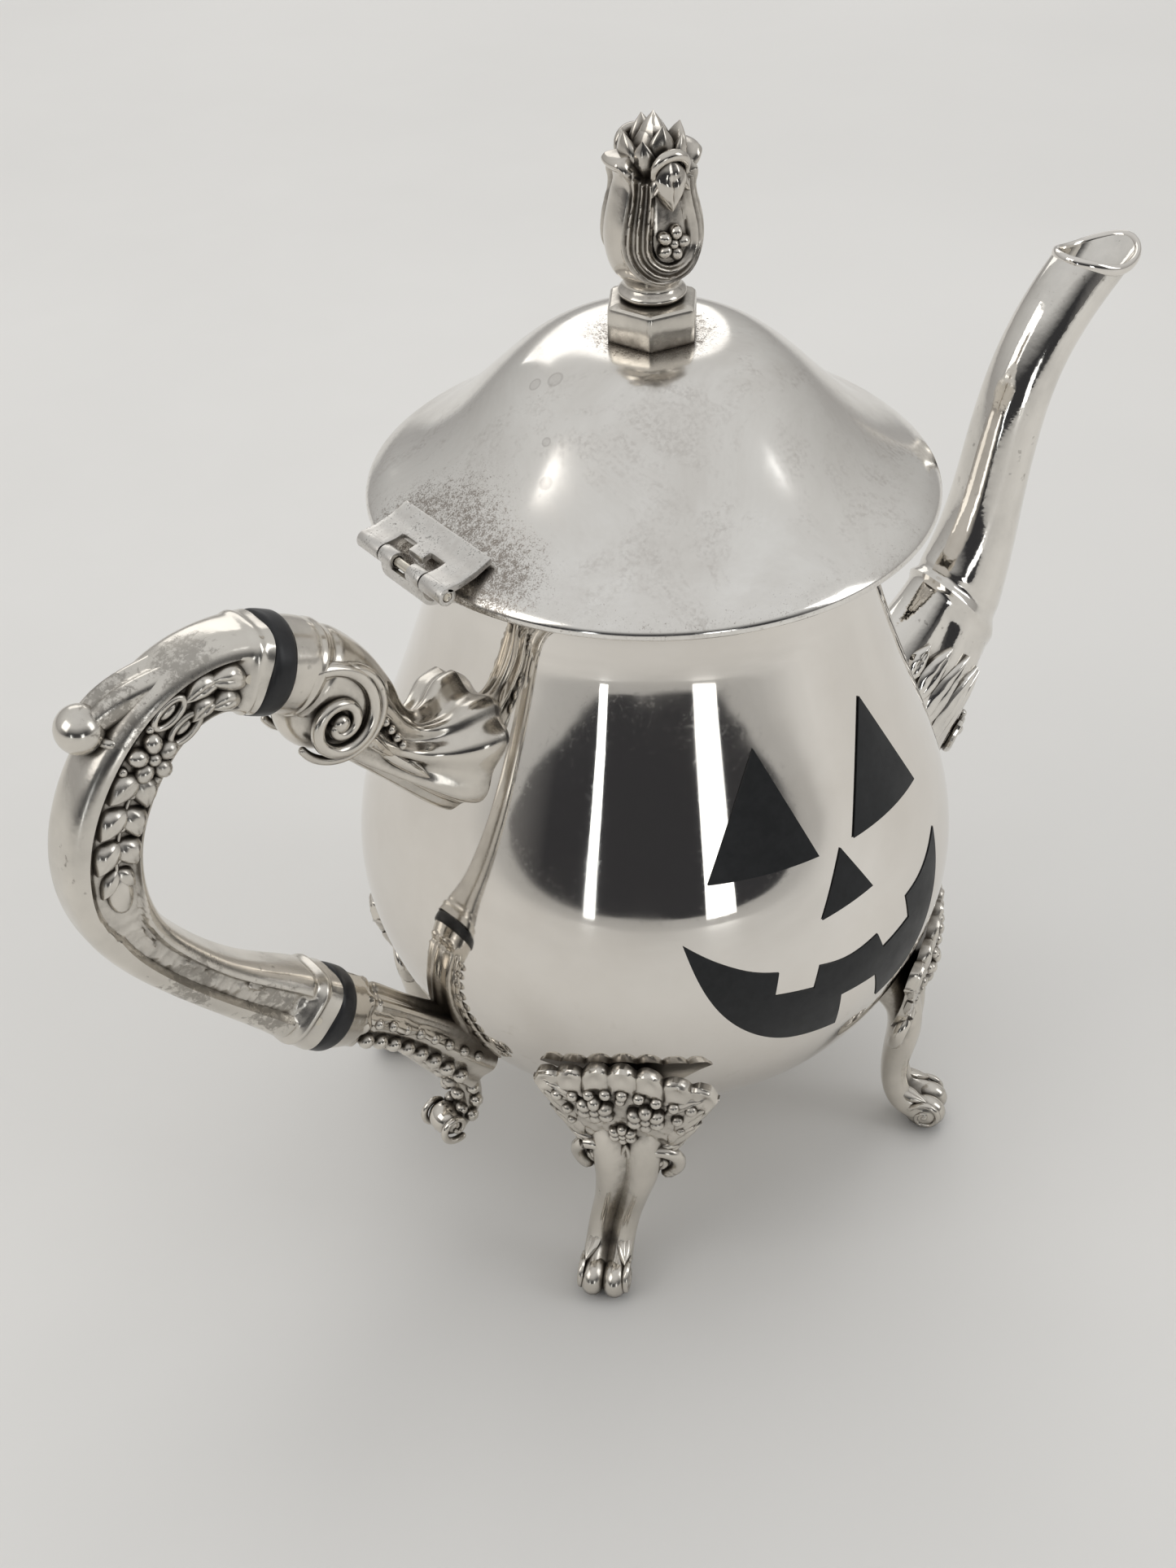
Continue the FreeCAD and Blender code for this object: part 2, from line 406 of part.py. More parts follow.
# ---------------------------------------------------------------- stickers
def film_solid(dist):
    pts = offset_points(outer, dist, 60)
    c = spline(pts)
    return revolve([c.toShape(), line(pts[-1], V(0, 0, pts[-1].z)), line(V(0, 0, pts[-1].z), V(0, 0, pts[0].z)), line(V(0, 0, pts[0].z), pts[0])])


film = film_solid(FILM_GAP + FILM_T).cut(film_solid(FILM_GAP))
zs = [outer.value(outer.FirstParameter + (outer.LastParameter - outer.FirstParameter) * i / 400.0) for i in range(401)]


def radius_at(z):
    return min(zs, key=lambda p: abs(p.z - z)).x


def sticker(points, turn, name):
    # outline drawn on the plane that faces the viewer of the face, pressed through the film
    pts = [V(radius_at(z) * math.sin(math.radians(a + turn)), 0, z) for a, z in points]
    cut = poly_face(pts).extrude(V(0, -90, 0)).common(film)
    cut = max(cut.Solids, key=lambda s: s.Volume)
    cut.rotate(V(0, 0, 0), V(0, 0, 1), FACE_AZ + 90.0)
    return one(cut, name)


parts["face_left_eye"] = sticker(EYE, -EYE_TURN, "face_left_eye")
parts["face_right_eye"] = sticker(EYE, EYE_TURN, "face_right_eye")
parts["face_nose"] = sticker(NOSE, 0.0, "face_nose")
parts["face_mouth"] = sticker(MOUTH, 0.0, "face_mouth")

# ---------------------------------------------------------------- export
os.makedirs("parts", exist_ok=True)
for name in sorted(parts):
    s = parts[name].copy()
    s.translate(V(AXIS_X, 0, 0))
    s.exportStep("parts/%s.step" % name)
    b = s.BoundBox
    print("%-24s solids %d valid %s vol %9.1f  x %.1f..%.1f y %.1f..%.1f z %.1f..%.1f" % (
        name, len(s.Solids), s.isValid(), s.Volume, b.XMin, b.XMax, b.YMin, b.YMax, b.ZMin, b.ZMax))
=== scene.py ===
import bpy
import bmesh
import math
import numpy as np
from mathutils import Matrix, Vector


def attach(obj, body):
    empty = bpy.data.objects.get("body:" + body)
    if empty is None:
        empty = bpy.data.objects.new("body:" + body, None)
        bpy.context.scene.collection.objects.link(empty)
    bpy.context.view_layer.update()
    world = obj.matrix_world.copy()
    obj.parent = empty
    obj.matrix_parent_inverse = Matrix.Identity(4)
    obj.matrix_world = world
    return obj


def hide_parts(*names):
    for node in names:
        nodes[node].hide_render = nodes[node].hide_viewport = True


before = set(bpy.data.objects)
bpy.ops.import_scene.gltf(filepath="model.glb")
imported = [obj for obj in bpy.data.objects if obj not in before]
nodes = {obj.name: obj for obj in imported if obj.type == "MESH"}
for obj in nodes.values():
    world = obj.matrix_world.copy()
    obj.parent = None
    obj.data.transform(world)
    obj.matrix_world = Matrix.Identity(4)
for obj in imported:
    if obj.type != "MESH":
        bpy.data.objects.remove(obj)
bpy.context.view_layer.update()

# All shapes below are drawn in millimetres about the body's axis, Z up from the
# soles, and moved by AX into the part's frame, in metres.
AX = -2.2
TAU = 2 * math.pi


# ------------------------------------------------------------------ small maths
class Spline:
    """Natural cubic through points, by chord length of the first dim columns."""

    def __init__(self, pts, dim=2):
        p = np.asarray(pts, float)
        t = np.r_[0.0, np.cumsum(np.linalg.norm(np.diff(p[:, :dim], axis=0), axis=1))]
        n, h = len(t), np.diff(t)
        A, B = np.eye(n), np.zeros_like(p)
        for i in range(1, n - 1):
            A[i, i - 1:i + 2] = [h[i - 1], 2 * (h[i - 1] + h[i]), h[i]]
            B[i] = 6 * ((p[i + 1] - p[i]) / h[i] - (p[i] - p[i - 1]) / h[i - 1])
        self.p, self.t, self.m = p, t, np.linalg.solve(A, B)

    def __call__(self, u):
        s = np.clip(np.atleast_1d(np.asarray(u, float)), 0, 1) * self.t[-1]
        i = np.clip(np.searchsorted(self.t, s, side="right") - 1, 0, len(self.t) - 2)
        h = (self.t[i + 1] - self.t[i])[:, None]
        a = (self.t[i + 1] - s)[:, None] / h
        b = 1 - a
        return a * self.p[i] + b * self.p[i + 1] + ((a ** 3 - a) * self.m[i] + (b ** 3 - b) * self.m[i + 1]) * h * h / 6


def smooth(x, a, b):
    t = np.clip((np.asarray(x, float) - a) / (b - a), 0, 1)
    return t * t * (3 - 2 * t)


def unit(v):
    v = np.asarray(v, float)
    return v / (np.linalg.norm(v, axis=-1, keepdims=True) + 1e-12)


def spow(c, e):
    return np.sign(c) * np.abs(c) ** e


# ------------------------------------------------------------------ mesh builder
class Build:
    def __init__(self):
        self.v, self.f, self.n = [], [], 0

    def add(self, verts, faces):
        verts = np.asarray(verts, float).reshape(-1, 3)
        self.v.append(verts)
        k = self.n
        self.f += [tuple(i + k for i in f) for f in faces]
        self.n += len(verts)

    def grid(self, P, wrap_u=False, wrap_v=False, cap0=False, cap1=False):
        nu, nv = P.shape[:2]
        f = []
        for i in range(nu if wrap_u else nu - 1):
            for j in range(nv if wrap_v else nv - 1):
                i2, j2 = (i + 1) % nu, (j + 1) % nv
                f.append((i * nv + j, i2 * nv + j, i2 * nv + j2, i * nv + j2))
        V = P.reshape(-1, 3)
        extra = []
        for on, row in ((cap0, 0), (cap1, nu - 1)):
            if on:
                c = len(V) + len(extra)
                extra.append(P[row].mean(0))
                f += [(row * nv + j, row * nv + (j + 1) % nv, c) for j in range(nv)]
        if extra:
            V = np.vstack([V, extra])
        self.add(V, f)

    def slab(self, A, B):
        """Closed sheet between two grids of the same shape."""
        nu, nv = A.shape[:2]
        n = nu * nv
        f = []
        for i in range(nu - 1):
            for j in range(nv - 1):
                q = (i * nv + j, (i + 1) * nv + j, (i + 1) * nv + j + 1, i * nv + j + 1)
                f.append(q)
                f.append(tuple(n + k for k in reversed(q)))
        edge = [j for j in range(nv)] + [i * nv + nv - 1 for i in range(1, nu)]
        edge += [(nu - 1) * nv + j for j in range(nv - 2, -1, -1)] + [i * nv for i in range(nu - 2, 0, -1)]
        for a, b in zip(edge, edge[1:] + edge[:1]):
            f.append((a, b, n + b, n + a))
        self.add(np.vstack([A.reshape(-1, 3), B.reshape(-1, 3)]), f)

    def lathe(self, prof, seg=96, closed=False, pole0=False, pole1=False):
        prof = np.asarray(prof, float)
        th = np.linspace(0, TAU, seg, endpoint=False)
        P = np.stack([np.outer(prof[:, 0], np.cos(th)), np.outer(prof[:, 0], np.sin(th)), np.repeat(prof[:, 1:2], seg, 1)], -1)
        self.grid(P, wrap_u=closed, wrap_v=True, cap0=pole0, cap1=pole1)

    def blob(self, c, r, axes=None, nu=8, nv=12, e=1.0):
        """Ellipsoid; r = three half sizes along the rows of axes."""
        a = np.eye(3) if axes is None else np.asarray(axes, float)
        u = np.linspace(0, math.pi, nu + 1)[1:-1]
        v = np.linspace(0, TAU, nv, endpoint=False)
        X = np.stack([np.outer(np.sin(u), np.cos(v)), np.outer(np.sin(u), np.sin(v)), np.repeat(np.cos(u)[:, None], nv, 1)], -1)
        P = np.asarray(c, float) + (X * np.asarray(r, float)) @ a
        V = np.vstack([P.reshape(-1, 3), np.asarray(c) + a[2] * r[2], np.asarray(c) - a[2] * r[2]])
        f = []
        m = nu - 1
        for i in range(m - 1):
            for j in range(nv):
                f.append((i * nv + j, (i + 1) * nv + j, (i + 1) * nv + (j + 1) % nv, i * nv + (j + 1) % nv))
        f += [(j, (j + 1) % nv, m * nv) for j in range(nv)]
        f += [((m - 1) * nv + j, (m - 1) * nv + (j + 1) % nv, m * nv + 1) for j in range(nv)]
        self.add(V, f)

    def tube(self, path, rad, seg=10, side=None, flat=1.0):
        """Round-ended tube along a 3-D path; side fixes the section's first axis."""
        p = np.asarray(path, float)
        n = len(p)
        r = np.broadcast_to(np.asarray(rad, float), (n,))
        t = unit(np.gradient(p, axis=0))
        s = np.asarray(side, float) if side is not None else np.array([0.31, 0.77, 0.55])
        th = np.linspace(0, TAU, seg, endpoint=False)
        rows = []
        for i in range(n):
            a = s if np.ndim(s) == 1 else s[i]
            a = unit(a - t[i] * (a @ t[i]))
            b = np.cross(t[i], a)
            rows.append(p[i] + r[i] * (np.outer(np.cos(th), a) * flat + np.outer(np.sin(th), b)))
        P = np.array(rows)
        # rounded ends
        for end, sg in ((0, -1), (-1, 1)):
            c, rim = p[end], P[end]
            extra = [c + (rim - c) * math.cos(w) + sg * t[end] * r[end] * math.sin(w) for w in (0.5, 1.0, 1.35)]
            P = np.vstack([np.array(extra[::-1]), P]) if sg < 0 else np.vstack([P, np.array(extra)])
        self.grid(P, wrap_v=True, cap0=True, cap1=True)

    def leaf(self, base, tip, nrm, width, lift=1.0, sink=0.8, rib=0.35, bend=0.0, nu=15, nv=9, veins=0.0):
        """Cast leaf: a closed crowned lens with a mid rib, lying on a surface with normal nrm."""
        base, tip = np.asarray(base, float), np.asarray(tip, float)
        d = tip - base
        nrm = unit(nrm - unit(d) * (np.asarray(nrm) @ unit(d)))
        side = np.cross(unit(d), nrm)
        u = np.linspace(0, 1, nu)[:, None]
        v = np.linspace(-1, 1, nv)[None, :]
        w = width * 0.5 * np.sin(math.pi * np.clip(u * 0.94 + 0.05, 0, 1) ** 0.8) ** 0.9
        crown = lift * (1 - v ** 2) ** 0.7 * np.sin(math.pi * (u * 0.92 + 0.04)) ** 0.6
        crown = crown - rib * np.exp(-(v / 0.16) ** 2) * np.sin(math.pi * u)
        crown = crown + veins * np.cos(np.abs(v) * 5 + u * 22) * (1 - v ** 2) * np.sin(math.pi * u)
        mid = base + u[..., None] * d + (bend * np.sin(math.pi * u))[..., None] * side
        top = mid + (w * v)[..., None] * side + crown[..., None] * nrm
        bot = mid + (w * v * 0.96)[..., None] * side - sink * nrm
        self.slab(top, bot)

    def flower(self, c, nrm, up, R, petals=5, lift=0.5, core=0.3):
        nrm = unit(nrm)
        up = unit(np.asarray(up) - nrm * (np.asarray(up) @ nrm))
        sd = np.cross(up, nrm)
        for k in range(petals):
            w = TAU * k / petals
            d = up * math.cos(w) + sd * math.sin(w)
            t = np.cross(nrm, d)
            self.blob(np.asarray(c) + d * R * 0.58 + nrm * lift * R * 0.16, (R * 0.43, R * 0.36, R * lift), np.array([d, t, nrm]), 7, 12)
        self.blob(np.asarray(c) + nrm * R * lift * 0.35, (R * core, R * core, R * lift * 0.8), np.array([up, sd, nrm]), 7, 10)

    def finish(self, name, material, body, replaces=(), slot=None, turn=0.0, angle=40.0, weld=True):
        V = np.vstack(self.v)
        if turn:
            c, s = math.cos(math.radians(turn)), math.sin(math.radians(turn))
            V = np.stack([V[:, 0] * c - V[:, 1] * s, V[:, 0] * s + V[:, 1] * c, V[:, 2]], -1)
        V = (V + [AX, 0, 0]) / 1000.0
        me = bpy.data.meshes.new(name)
        me.from_pydata(V.tolist(), [], self.f)
        bm = bmesh.new()
        bm.from_mesh(me)
        if weld:
            bmesh.ops.remove_doubles(bm, verts=bm.verts, dist=1e-6)
        bmesh.ops.recalc_face_normals(bm, faces=bm.faces)
        bm.to_mesh(me)
        bm.free()
        me.shade_smooth()
        me.set_sharp_from_angle(angle=math.radians(angle))
        me.materials.append(material)
        ob = bpy.data.objects.new(name, me)
        bpy.context.scene.collection.objects.link(ob)
        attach(ob, body)
        if replaces:
            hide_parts(*replaces)
        return ob


def plane_frame(P2):
    """Tangent and left-hand normal of a path in the XZ plane."""
    t = unit(np.gradient(P2, axis=0))
    return t, np.stack([-t[:, 1], t[:, 0]], -1)


def sweep(build, st, section, seg=40, n=120, d0=None, d1=None, caps=(True, True), dense=None):
    """Sweeps section(s, phi, a, h) -> (u along the path's left normal, v along Y) through stations x, z, a, h."""
    u = np.linspace(0, 1, n) if dense is None else dense
    q = Spline(st)(u)
    t, nn = plane_frame(q[:, :2])
    for i, d in ((0, d0), (-1, d1)):
        if d is not None:
            k = 8
            for j in range(k):
                w = 1 - j / k
                a = j if i == 0 else -1 - j
                m = unit(np.array(d) * w + t[a] * (1 - w))
                t[a] = m
                nn[a] = (-m[1], m[0])
    ph = np.linspace(0, TAU, seg, endpoint=False)
    P = np.zeros((len(u), seg, 3))
    for i in range(len(u)):
        uu, vv = section(u[i], ph, q[i, 2], q[i, 3])
        P[i, :, 0] = q[i, 0] + nn[i, 0] * uu
        P[i, :, 2] = q[i, 1] + nn[i, 1] * uu
        P[i, :, 1] = vv
    build.grid(P, wrap_v=True, cap0=caps[0], cap1=caps[1])
    return u, q, t, nn, P


# ------------------------------------------------------------------ materials
def new_mat(name):
    m = bpy.data.materials.new(name)
    m.use_nodes = True
    nt = m.node_tree
    return m, nt, nt.nodes["Principled BSDF"]


def nd(nt, kind, **kw):
    n = nt.nodes.new(kind)
    for k, v in kw.items():
        setattr(n, k, v)
    return n


def ramp(nt, src, stops, interp="LINEAR"):
    r = nd(nt, "ShaderNodeValToRGB")
    r.color_ramp.interpolation = interp
    e = r.color_ramp.elements
    while len(e) < len(stops):
        e.new(0.5)
    for el, (p, c) in zip(e, stops):
        el.position = p
        el.color = (c, c, c, 1) if isinstance(c, (int, float)) else (*c, 1)
    nt.links.new(src, r.inputs["Fac"])
    return r.outputs["Color"]


def coords(nt, scale=(1, 1, 1)):
    tc = nd(nt, "ShaderNodeTexCoord")
    mp = nd(nt, "ShaderNodeMapping")
    mp.inputs["Scale"].default_value = scale
    nt.links.new(tc.outputs["Object"], mp.inputs["Vector"])
    return mp.outputs["Vector"]


def noise(nt, vec, scale, detail=4.0, rough=0.55, dist=0.0):
    n = nd(nt, "ShaderNodeTexNoise")
    n.inputs["Scale"].default_value = scale
    n.inputs["Detail"].default_value = detail
    n.inputs["Roughness"].default_value = rough
    n.inputs["Distortion"].default_value = dist
    nt.links.new(vec, n.inputs["Vector"])
    return n.outputs["Fac"]


def mix_col(nt, fac, a, b, mode="MIX"):
    m = nd(nt, "ShaderNodeMix", data_type="RGBA", blend_type=mode)
    ins = {"f": m.inputs[0], "a": m.inputs[6], "b": m.inputs[7]}
    for k, val in (("f", fac), ("a", a), ("b", b)):
        if isinstance(val, (int, float)):
            ins[k].default_value = val if k == "f" else (val, val, val, 1)
        elif isinstance(val, tuple):
            ins[k].default_value = (*val, 1)
        else:
            nt.links.new(val, ins[k])
    return m.outputs[2]


def math_node(nt, op, a, b=None, clamp=False):
    m = nd(nt, "ShaderNodeMath", operation=op, use_clamp=clamp)
    for i, val in enumerate((a, b)):
        if val is None:
            continue
        if isinstance(val, (int, float)):
            m.inputs[i].default_value = val
        else:
            nt.links.new(val, m.inputs[i])
    return m.outputs[0]


def near(nt, vec, point, r0, r1):
    """1 inside r0 of a point, 0 beyond r1 (metres, in the part's frame)."""
    d = nd(nt, "ShaderNodeVectorMath", operation="DISTANCE")
    nt.links.new(vec, d.inputs[0])
    d.inputs[1].default_value = point
    mr = nd(nt, "ShaderNodeMapRange", interpolation_type="SMOOTHSTEP")
    mr.inputs["From Min"].default_value = r1
    mr.inputs["From Max"].default_value = r0
    nt.links.new(d.outputs["Value"], mr.inputs["Value"])
    return mr.outputs["Result"]


def bump(nt, bsdf, height, strength, distance):
    b = nd(nt, "ShaderNodeBump")
    b.inputs["Strength"].default_value = strength
    b.inputs["Distance"].default_value = distance
    nt.links.new(height, b.inputs["Height"])
    nt.links.new(b.outputs["Normal"], bsdf.inputs["Normal"])


def occlusion(nt, dist):
    ao = nd(nt, "ShaderNodeAmbientOcclusion", samples=8)
    ao.inputs["Distance"].default_value = dist
    return ao.outputs["AO"]


def silver_body():
    m, nt, b = new_mat("polished_silver")
    v = coords(nt)
    cloud = noise(nt, v, 22, 5, 0.6)
    fine = noise(nt, v, 900, 3, 0.6)
    tone = ramp(nt, cloud, [(0.30, (0.74, 0.70, 0.645)), (0.52, (0.80, 0.765, 0.715)), (0.75, (0.845, 0.815, 0.77))])
    spot = ramp(nt, noise(nt, v, 260, 2, 0.5), [(0.66, 0.0), (0.76, 1.0)])
    near_low = ramp(nt, nd_sep(nt, v, "Z"), [(0.05, 1.0), (0.085, 0.0)])
    stain = math_node(nt, "MULTIPLY", spot, near_low)
    col = mix_col(nt, math_node(nt, "MULTIPLY", stain, 0.35), tone, (0.47, 0.41, 0.33))
    nt.links.new(col, b.inputs["Base Color"])
    rgh = ramp(nt, cloud, [(0.30, 0.085), (0.55, 0.035), (0.8, 0.06)])
    nt.links.new(math_node(nt, "ADD", rgh, math_node(nt, "MULTIPLY", ramp(nt, fine, [(0.55, 0.0), (0.8, 1.0)]), 0.05)), b.inputs["Roughness"])
    b.inputs["Metallic"].default_value = 1.0
    bump(nt, b, noise(nt, v, 55, 2, 0.4), 0.035, 0.001)
    return m


def nd_sep(nt, vec, axis):
    s = nd(nt, "ShaderNodeSeparateXYZ")
    nt.links.new(vec, s.inputs[0])
    return s.outputs[axis]


def silver_lid():
    m, nt, b = new_mat("tarnished_silver")
    v = coords(nt)
    cloud = noise(nt, v, 30, 8, 0.68, 0.6)
    big = noise(nt, v, 11, 3, 0.5, 0.3)
    mott = ramp(nt, math_node(nt, "ADD", math_node(nt, "MULTIPLY", cloud, 0.7), math_node(nt, "MULTIPLY", big, 0.4)),
                [(0.45, 0.0), (0.66, 1.0)])
    tone = mix_col(nt, mott, (0.90, 0.88, 0.84), (0.77, 0.74, 0.695))
    # fine dark specks, thick round the hinge and the finial's foot
    grain = noise(nt, v, 3400, 3, 0.65)
    grain2 = noise(nt, v, 900, 4, 0.75)
    hx, hz = (-50.5 + AX) / 1000, 0.1675
    zone = near(nt, v, (hx, 0.0, hz), 0.006, 0.025)
    for y in (-0.0085, 0.0085, -0.0135):
        zone = math_node(nt, "MAXIMUM", zone, near(nt, v, (hx, y, hz - 0.0006), 0.005, 0.019))
    top = near(nt, v, (AX / 1000, 0.0, 0.193), 0.0075, 0.0165)
    rim = ramp(nt, nd_sep(nt, v, "Z"), [(0.1632, 0.45), (0.1668, 0.0)])
    zone = math_node(nt, "MAXIMUM", math_node(nt, "MAXIMUM", zone, top), rim)
    thr = math_node(nt, "SUBTRACT", math_node(nt, "ADD", math_node(nt, "MULTIPLY", grain, 0.6), math_node(nt, "MULTIPLY", grain2, 0.5)),
                    math_node(nt, "SUBTRACT", 0.70, math_node(nt, "MULTIPLY", zone, 0.22)))
    speck = ramp(nt, thr, [(0.0, 0.0), (0.11, 1.0)])
    frost = math_node(nt, "MULTIPLY", ramp(nt, noise(nt, v, 48, 6, 0.7, 0.8), [(0.50, 0.0), (0.60, 1.0)]), ramp(nt, noise(nt, v, 1100, 3, 0.6), [(0.42, 0.0), (0.62, 1.0)]))
    tone = mix_col(nt, math_node(nt, "MULTIPLY", frost, 0.55), tone, (0.60, 0.565, 0.525))
    col = mix_col(nt, math_node(nt, "MULTIPLY", speck, 0.74), tone, (0.165, 0.125, 0.095))
    # a few round water spots
    spots = None
    for px, py, pz, r in ((-34.5, -11.4, 179.4, 1.9), (-36.3, -14.8, 177.0, 1.6), (-21.9, 0.8, 190.2, 1.6), (-24.0, 4.2, 188.6, 1.3), (-30.0, -6.5, 183.6, 1.0)):
        p = ((px + AX) / 1000, py / 1000, pz / 1000)
        ringy = math_node(nt, "SUBTRACT", near(nt, v, p, r * 0.92e-3, r * 1.08e-3), math_node(nt, "MULTIPLY", near(nt, v, p, r * 0.6e-3, r * 0.85e-3), 0.55))
        spots = ringy if spots is None else math_node(nt, "MAXIMUM", spots, ringy)
    col = mix_col(nt, math_node(nt, "MULTIPLY", spots, 0.30), col, (0.30, 0.27, 0.25))
    nt.links.new(col, b.inputs["Base Color"])
    rgh = math_node(nt, "ADD", ramp(nt, mott, [(0.0, 0.07), (1.0, 0.20)]), math_node(nt, "MULTIPLY", speck, 0.25), True)
    nt.links.new(rgh, b.inputs["Roughness"])
    b.inputs["Metallic"].default_value = 1.0
    bump(nt, b, math_node(nt, "SUBTRACT", noise(nt, v, 70, 3, 0.5), math_node(nt, "MULTIPLY", speck, 0.25)), 0.05, 0.0008)
    return m


def cast_silver(name="cast_silver", dist=0.0056, tint=(0.725, 0.685, 0.62), dark=(0.050, 0.038, 0.027), rough=(0.11, 0.25), stains=()):
    m, nt, b = new_mat(name)
    v = coords(nt)
    ao = occlusion(nt, dist)
    cloud = noise(nt, v, 85, 5, 0.6)
    tone = ramp(nt, cloud, [(0.3, tuple(c * 0.86 for c in tint)), (0.55, tint), (0.8, tuple(min(1, c * 1.06) for c in tint))])
    # painted shade: the ambient-occlusion term darkens the colour in recesses, with a little noise grime mixed in
    painted_shade_and_grime = ramp(nt, math_node(nt, "ADD", ao, math_node(nt, "MULTIPLY", math_node(nt, "SUBTRACT", noise(nt, v, 420, 4, 0.65), 0.5), 0.35)),
                 [(0.46, 1.0), (0.90, 0.0)])
    pit = ramp(nt, noise(nt, v, 520, 3, 0.6), [(0.63, 0.0), (0.72, 0.55)])
    zone = ramp(nt, noise(nt, v, 60, 2, 0.5), [(0.50, 0.0), (0.62, 1.0)])
    f = math_node(nt, "MAXIMUM", painted_shade_and_grime, math_node(nt, "MULTIPLY", pit, zone))
    # worn, darkened plating round given places
    for point, r0, r1, amount in stains:
        cover = math_node(nt, "ADD", math_node(nt, "MULTIPLY", near(nt, v, point, r0, r1), 0.34), noise(nt, v, 640, 6, 0.74, 0.3))
        f = math_node(nt, "MAXIMUM", f, math_node(nt, "MULTIPLY", ramp(nt, cover, [(0.74, 0.0), (0.84, 1.0)]), amount))
    # the dark mix lays on the painted shade of recesses together with the real pits and worn stains
    col = mix_col(nt, math_node(nt, "MULTIPLY", f, 0.88), tone, dark)
    nt.links.new(col, b.inputs["Base Color"])
    rgh = math_node(nt, "ADD", ramp(nt, cloud, [(0.3, rough[1]), (0.65, rough[0])]), math_node(nt, "MULTIPLY", f, 0.25), True)
    nt.links.new(rgh, b.inputs["Roughness"])
    b.inputs["Metallic"].default_value = 1.0
    bump(nt, b, math_node(nt, "ADD", noise(nt, v, 160, 3, 0.5), math_node(nt, "MULTIPLY", noise(nt, v, 700, 2, 0.5), 0.25)), 0.10, 0.0007)
    return m


def dull_silver():
    m, nt, b = new_mat("dull_silver")
    v = coords(nt)
    grain = noise(nt, v, 2300, 3, 0.65)
    blot = noise(nt, v, 390, 4, 0.6)
    speck = ramp(nt, math_node(nt, "ADD", math_node(nt, "MULTIPLY", grain, 0.65), math_node(nt, "MULTIPLY", blot, 0.42)), [(0.585, 0.0), (0.66, 1.0)])
    # painted shade: the occlusion term darkens the colour in the hinge's recesses, on top of the real dark specks
    ao = ramp(nt, occlusion(nt, 0.002), [(0.35, 1.0), (0.8, 0.0)])
    tone = ramp(nt, blot, [(0.3, (0.63, 0.605, 0.57)), (0.7, (0.78, 0.76, 0.725))])
    f = math_node(nt, "MAXIMUM", math_node(nt, "MULTIPLY", speck, 0.6), math_node(nt, "MULTIPLY", ao, 0.8))
    nt.links.new(mix_col(nt, f, tone, (0.10, 0.085, 0.07)), b.inputs["Base Color"])
    nt.links.new(ramp(nt, blot, [(0.3, 0.42), (0.7, 0.27)]), b.inputs["Roughness"])
    b.inputs["Metallic"].default_value = 1.0
    bump(nt, b, math_node(nt, "SUBTRACT", blot, math_node(nt, "MULTIPLY", speck, 0.4)), 0.12, 0.0004)
    return m


def plated_hardware():
    m, nt, b = new_mat("plated_hardware")
    v = coords(nt)
    n1 = noise(nt, v, 300, 4, 0.6)
    nt.links.new(ramp(nt, n1, [(0.3, (0.62, 0.57, 0.48)), (0.7, (0.76, 0.72, 0.64))]), b.inputs["Base Color"])
    nt.links.new(ramp(nt, n1, [(0.3, 0.34), (0.7, 0.20)]), b.inputs["Roughness"])
    b.inputs["Metallic"].default_value = 1.0
    bump(nt, b, noise(nt, v, 900, 2, 0.5), 0.08, 0.0003)
    return m


def black(name, lo, hi, r0, r1, scale, bstr, spec):
    m, nt, b = new_mat(name)
    v = coords(nt)
    n1 = noise(nt, v, scale, 5, 0.62)
    nt.links.new(ramp(nt, n1, [(0.3, lo), (0.75, hi)]), b.inputs["Base Color"])
    nt.links.new(ramp(nt, noise(nt, v, scale * 0.35, 4, 0.6), [(0.3, r0), (0.7, r1)]), b.inputs["Roughness"])
    b.inputs["Specular IOR Level"].default_value = spec
    bump(nt, b, n1, bstr, 0.0003)
    return m


M_BODY, M_LID, M_CAST, M_DULL, M_HW = silver_body(), silver_lid(), cast_silver(), dull_silver(), plated_hardware()
M_HANDLE = cast_silver("handle_silver", 0.0038, (0.73, 0.695, 0.635), (0.055, 0.042, 0.03), (0.14, 0.28),
                       (((-0.1165 + AX / 1000, 0.0, 0.160), 0.004, 0.012, 0.55), ((-0.104 + AX / 1000, -0.003, 0.168), 0.003, 0.010, 0.45),
                        ((-0.113 + AX / 1000, -0.006, 0.100), 0.003, 0.011, 0.5), ((-0.098 + AX / 1000, -0.006, 0.086), 0.003, 0.010, 0.55)))
M_FINIAL = cast_silver("finial_silver", 0.0034, (0.68, 0.64, 0.58), (0.045, 0.034, 0.024), (0.09, 0.20))
M_RING = black("black_ring", (0.010, 0.0105, 0.012), (0.022, 0.022, 0.024), 0.42, 0.30, 240, 0.10, 0.4)
M_VINYL = black("black_vinyl", (0.007, 0.008, 0.009), (0.015, 0.016, 0.018), 0.50, 0.38, 420, 0.06, 0.32)


# ------------------------------------------------------------------ body and lid
BODY = [(16, 23), (26, 25.4), (36, 31), (45, 38.8), (52.3, 47.2), (58.2, 58), (61.9, 69.8), (62.8, 80), (61.2, 92), (57.3, 104),
        (52.7, 116), (47.7, 130), (43.9, 142), (42.4, 149), (43.1, 154.5), (45.9, 159.7), (48.6, 163)]
body_curve = Spline(BODY)(np.linspace(0, 1, 400))


def body_r(z):
    return np.interp(z, body_curve[:, 1], body_curve[:, 0])


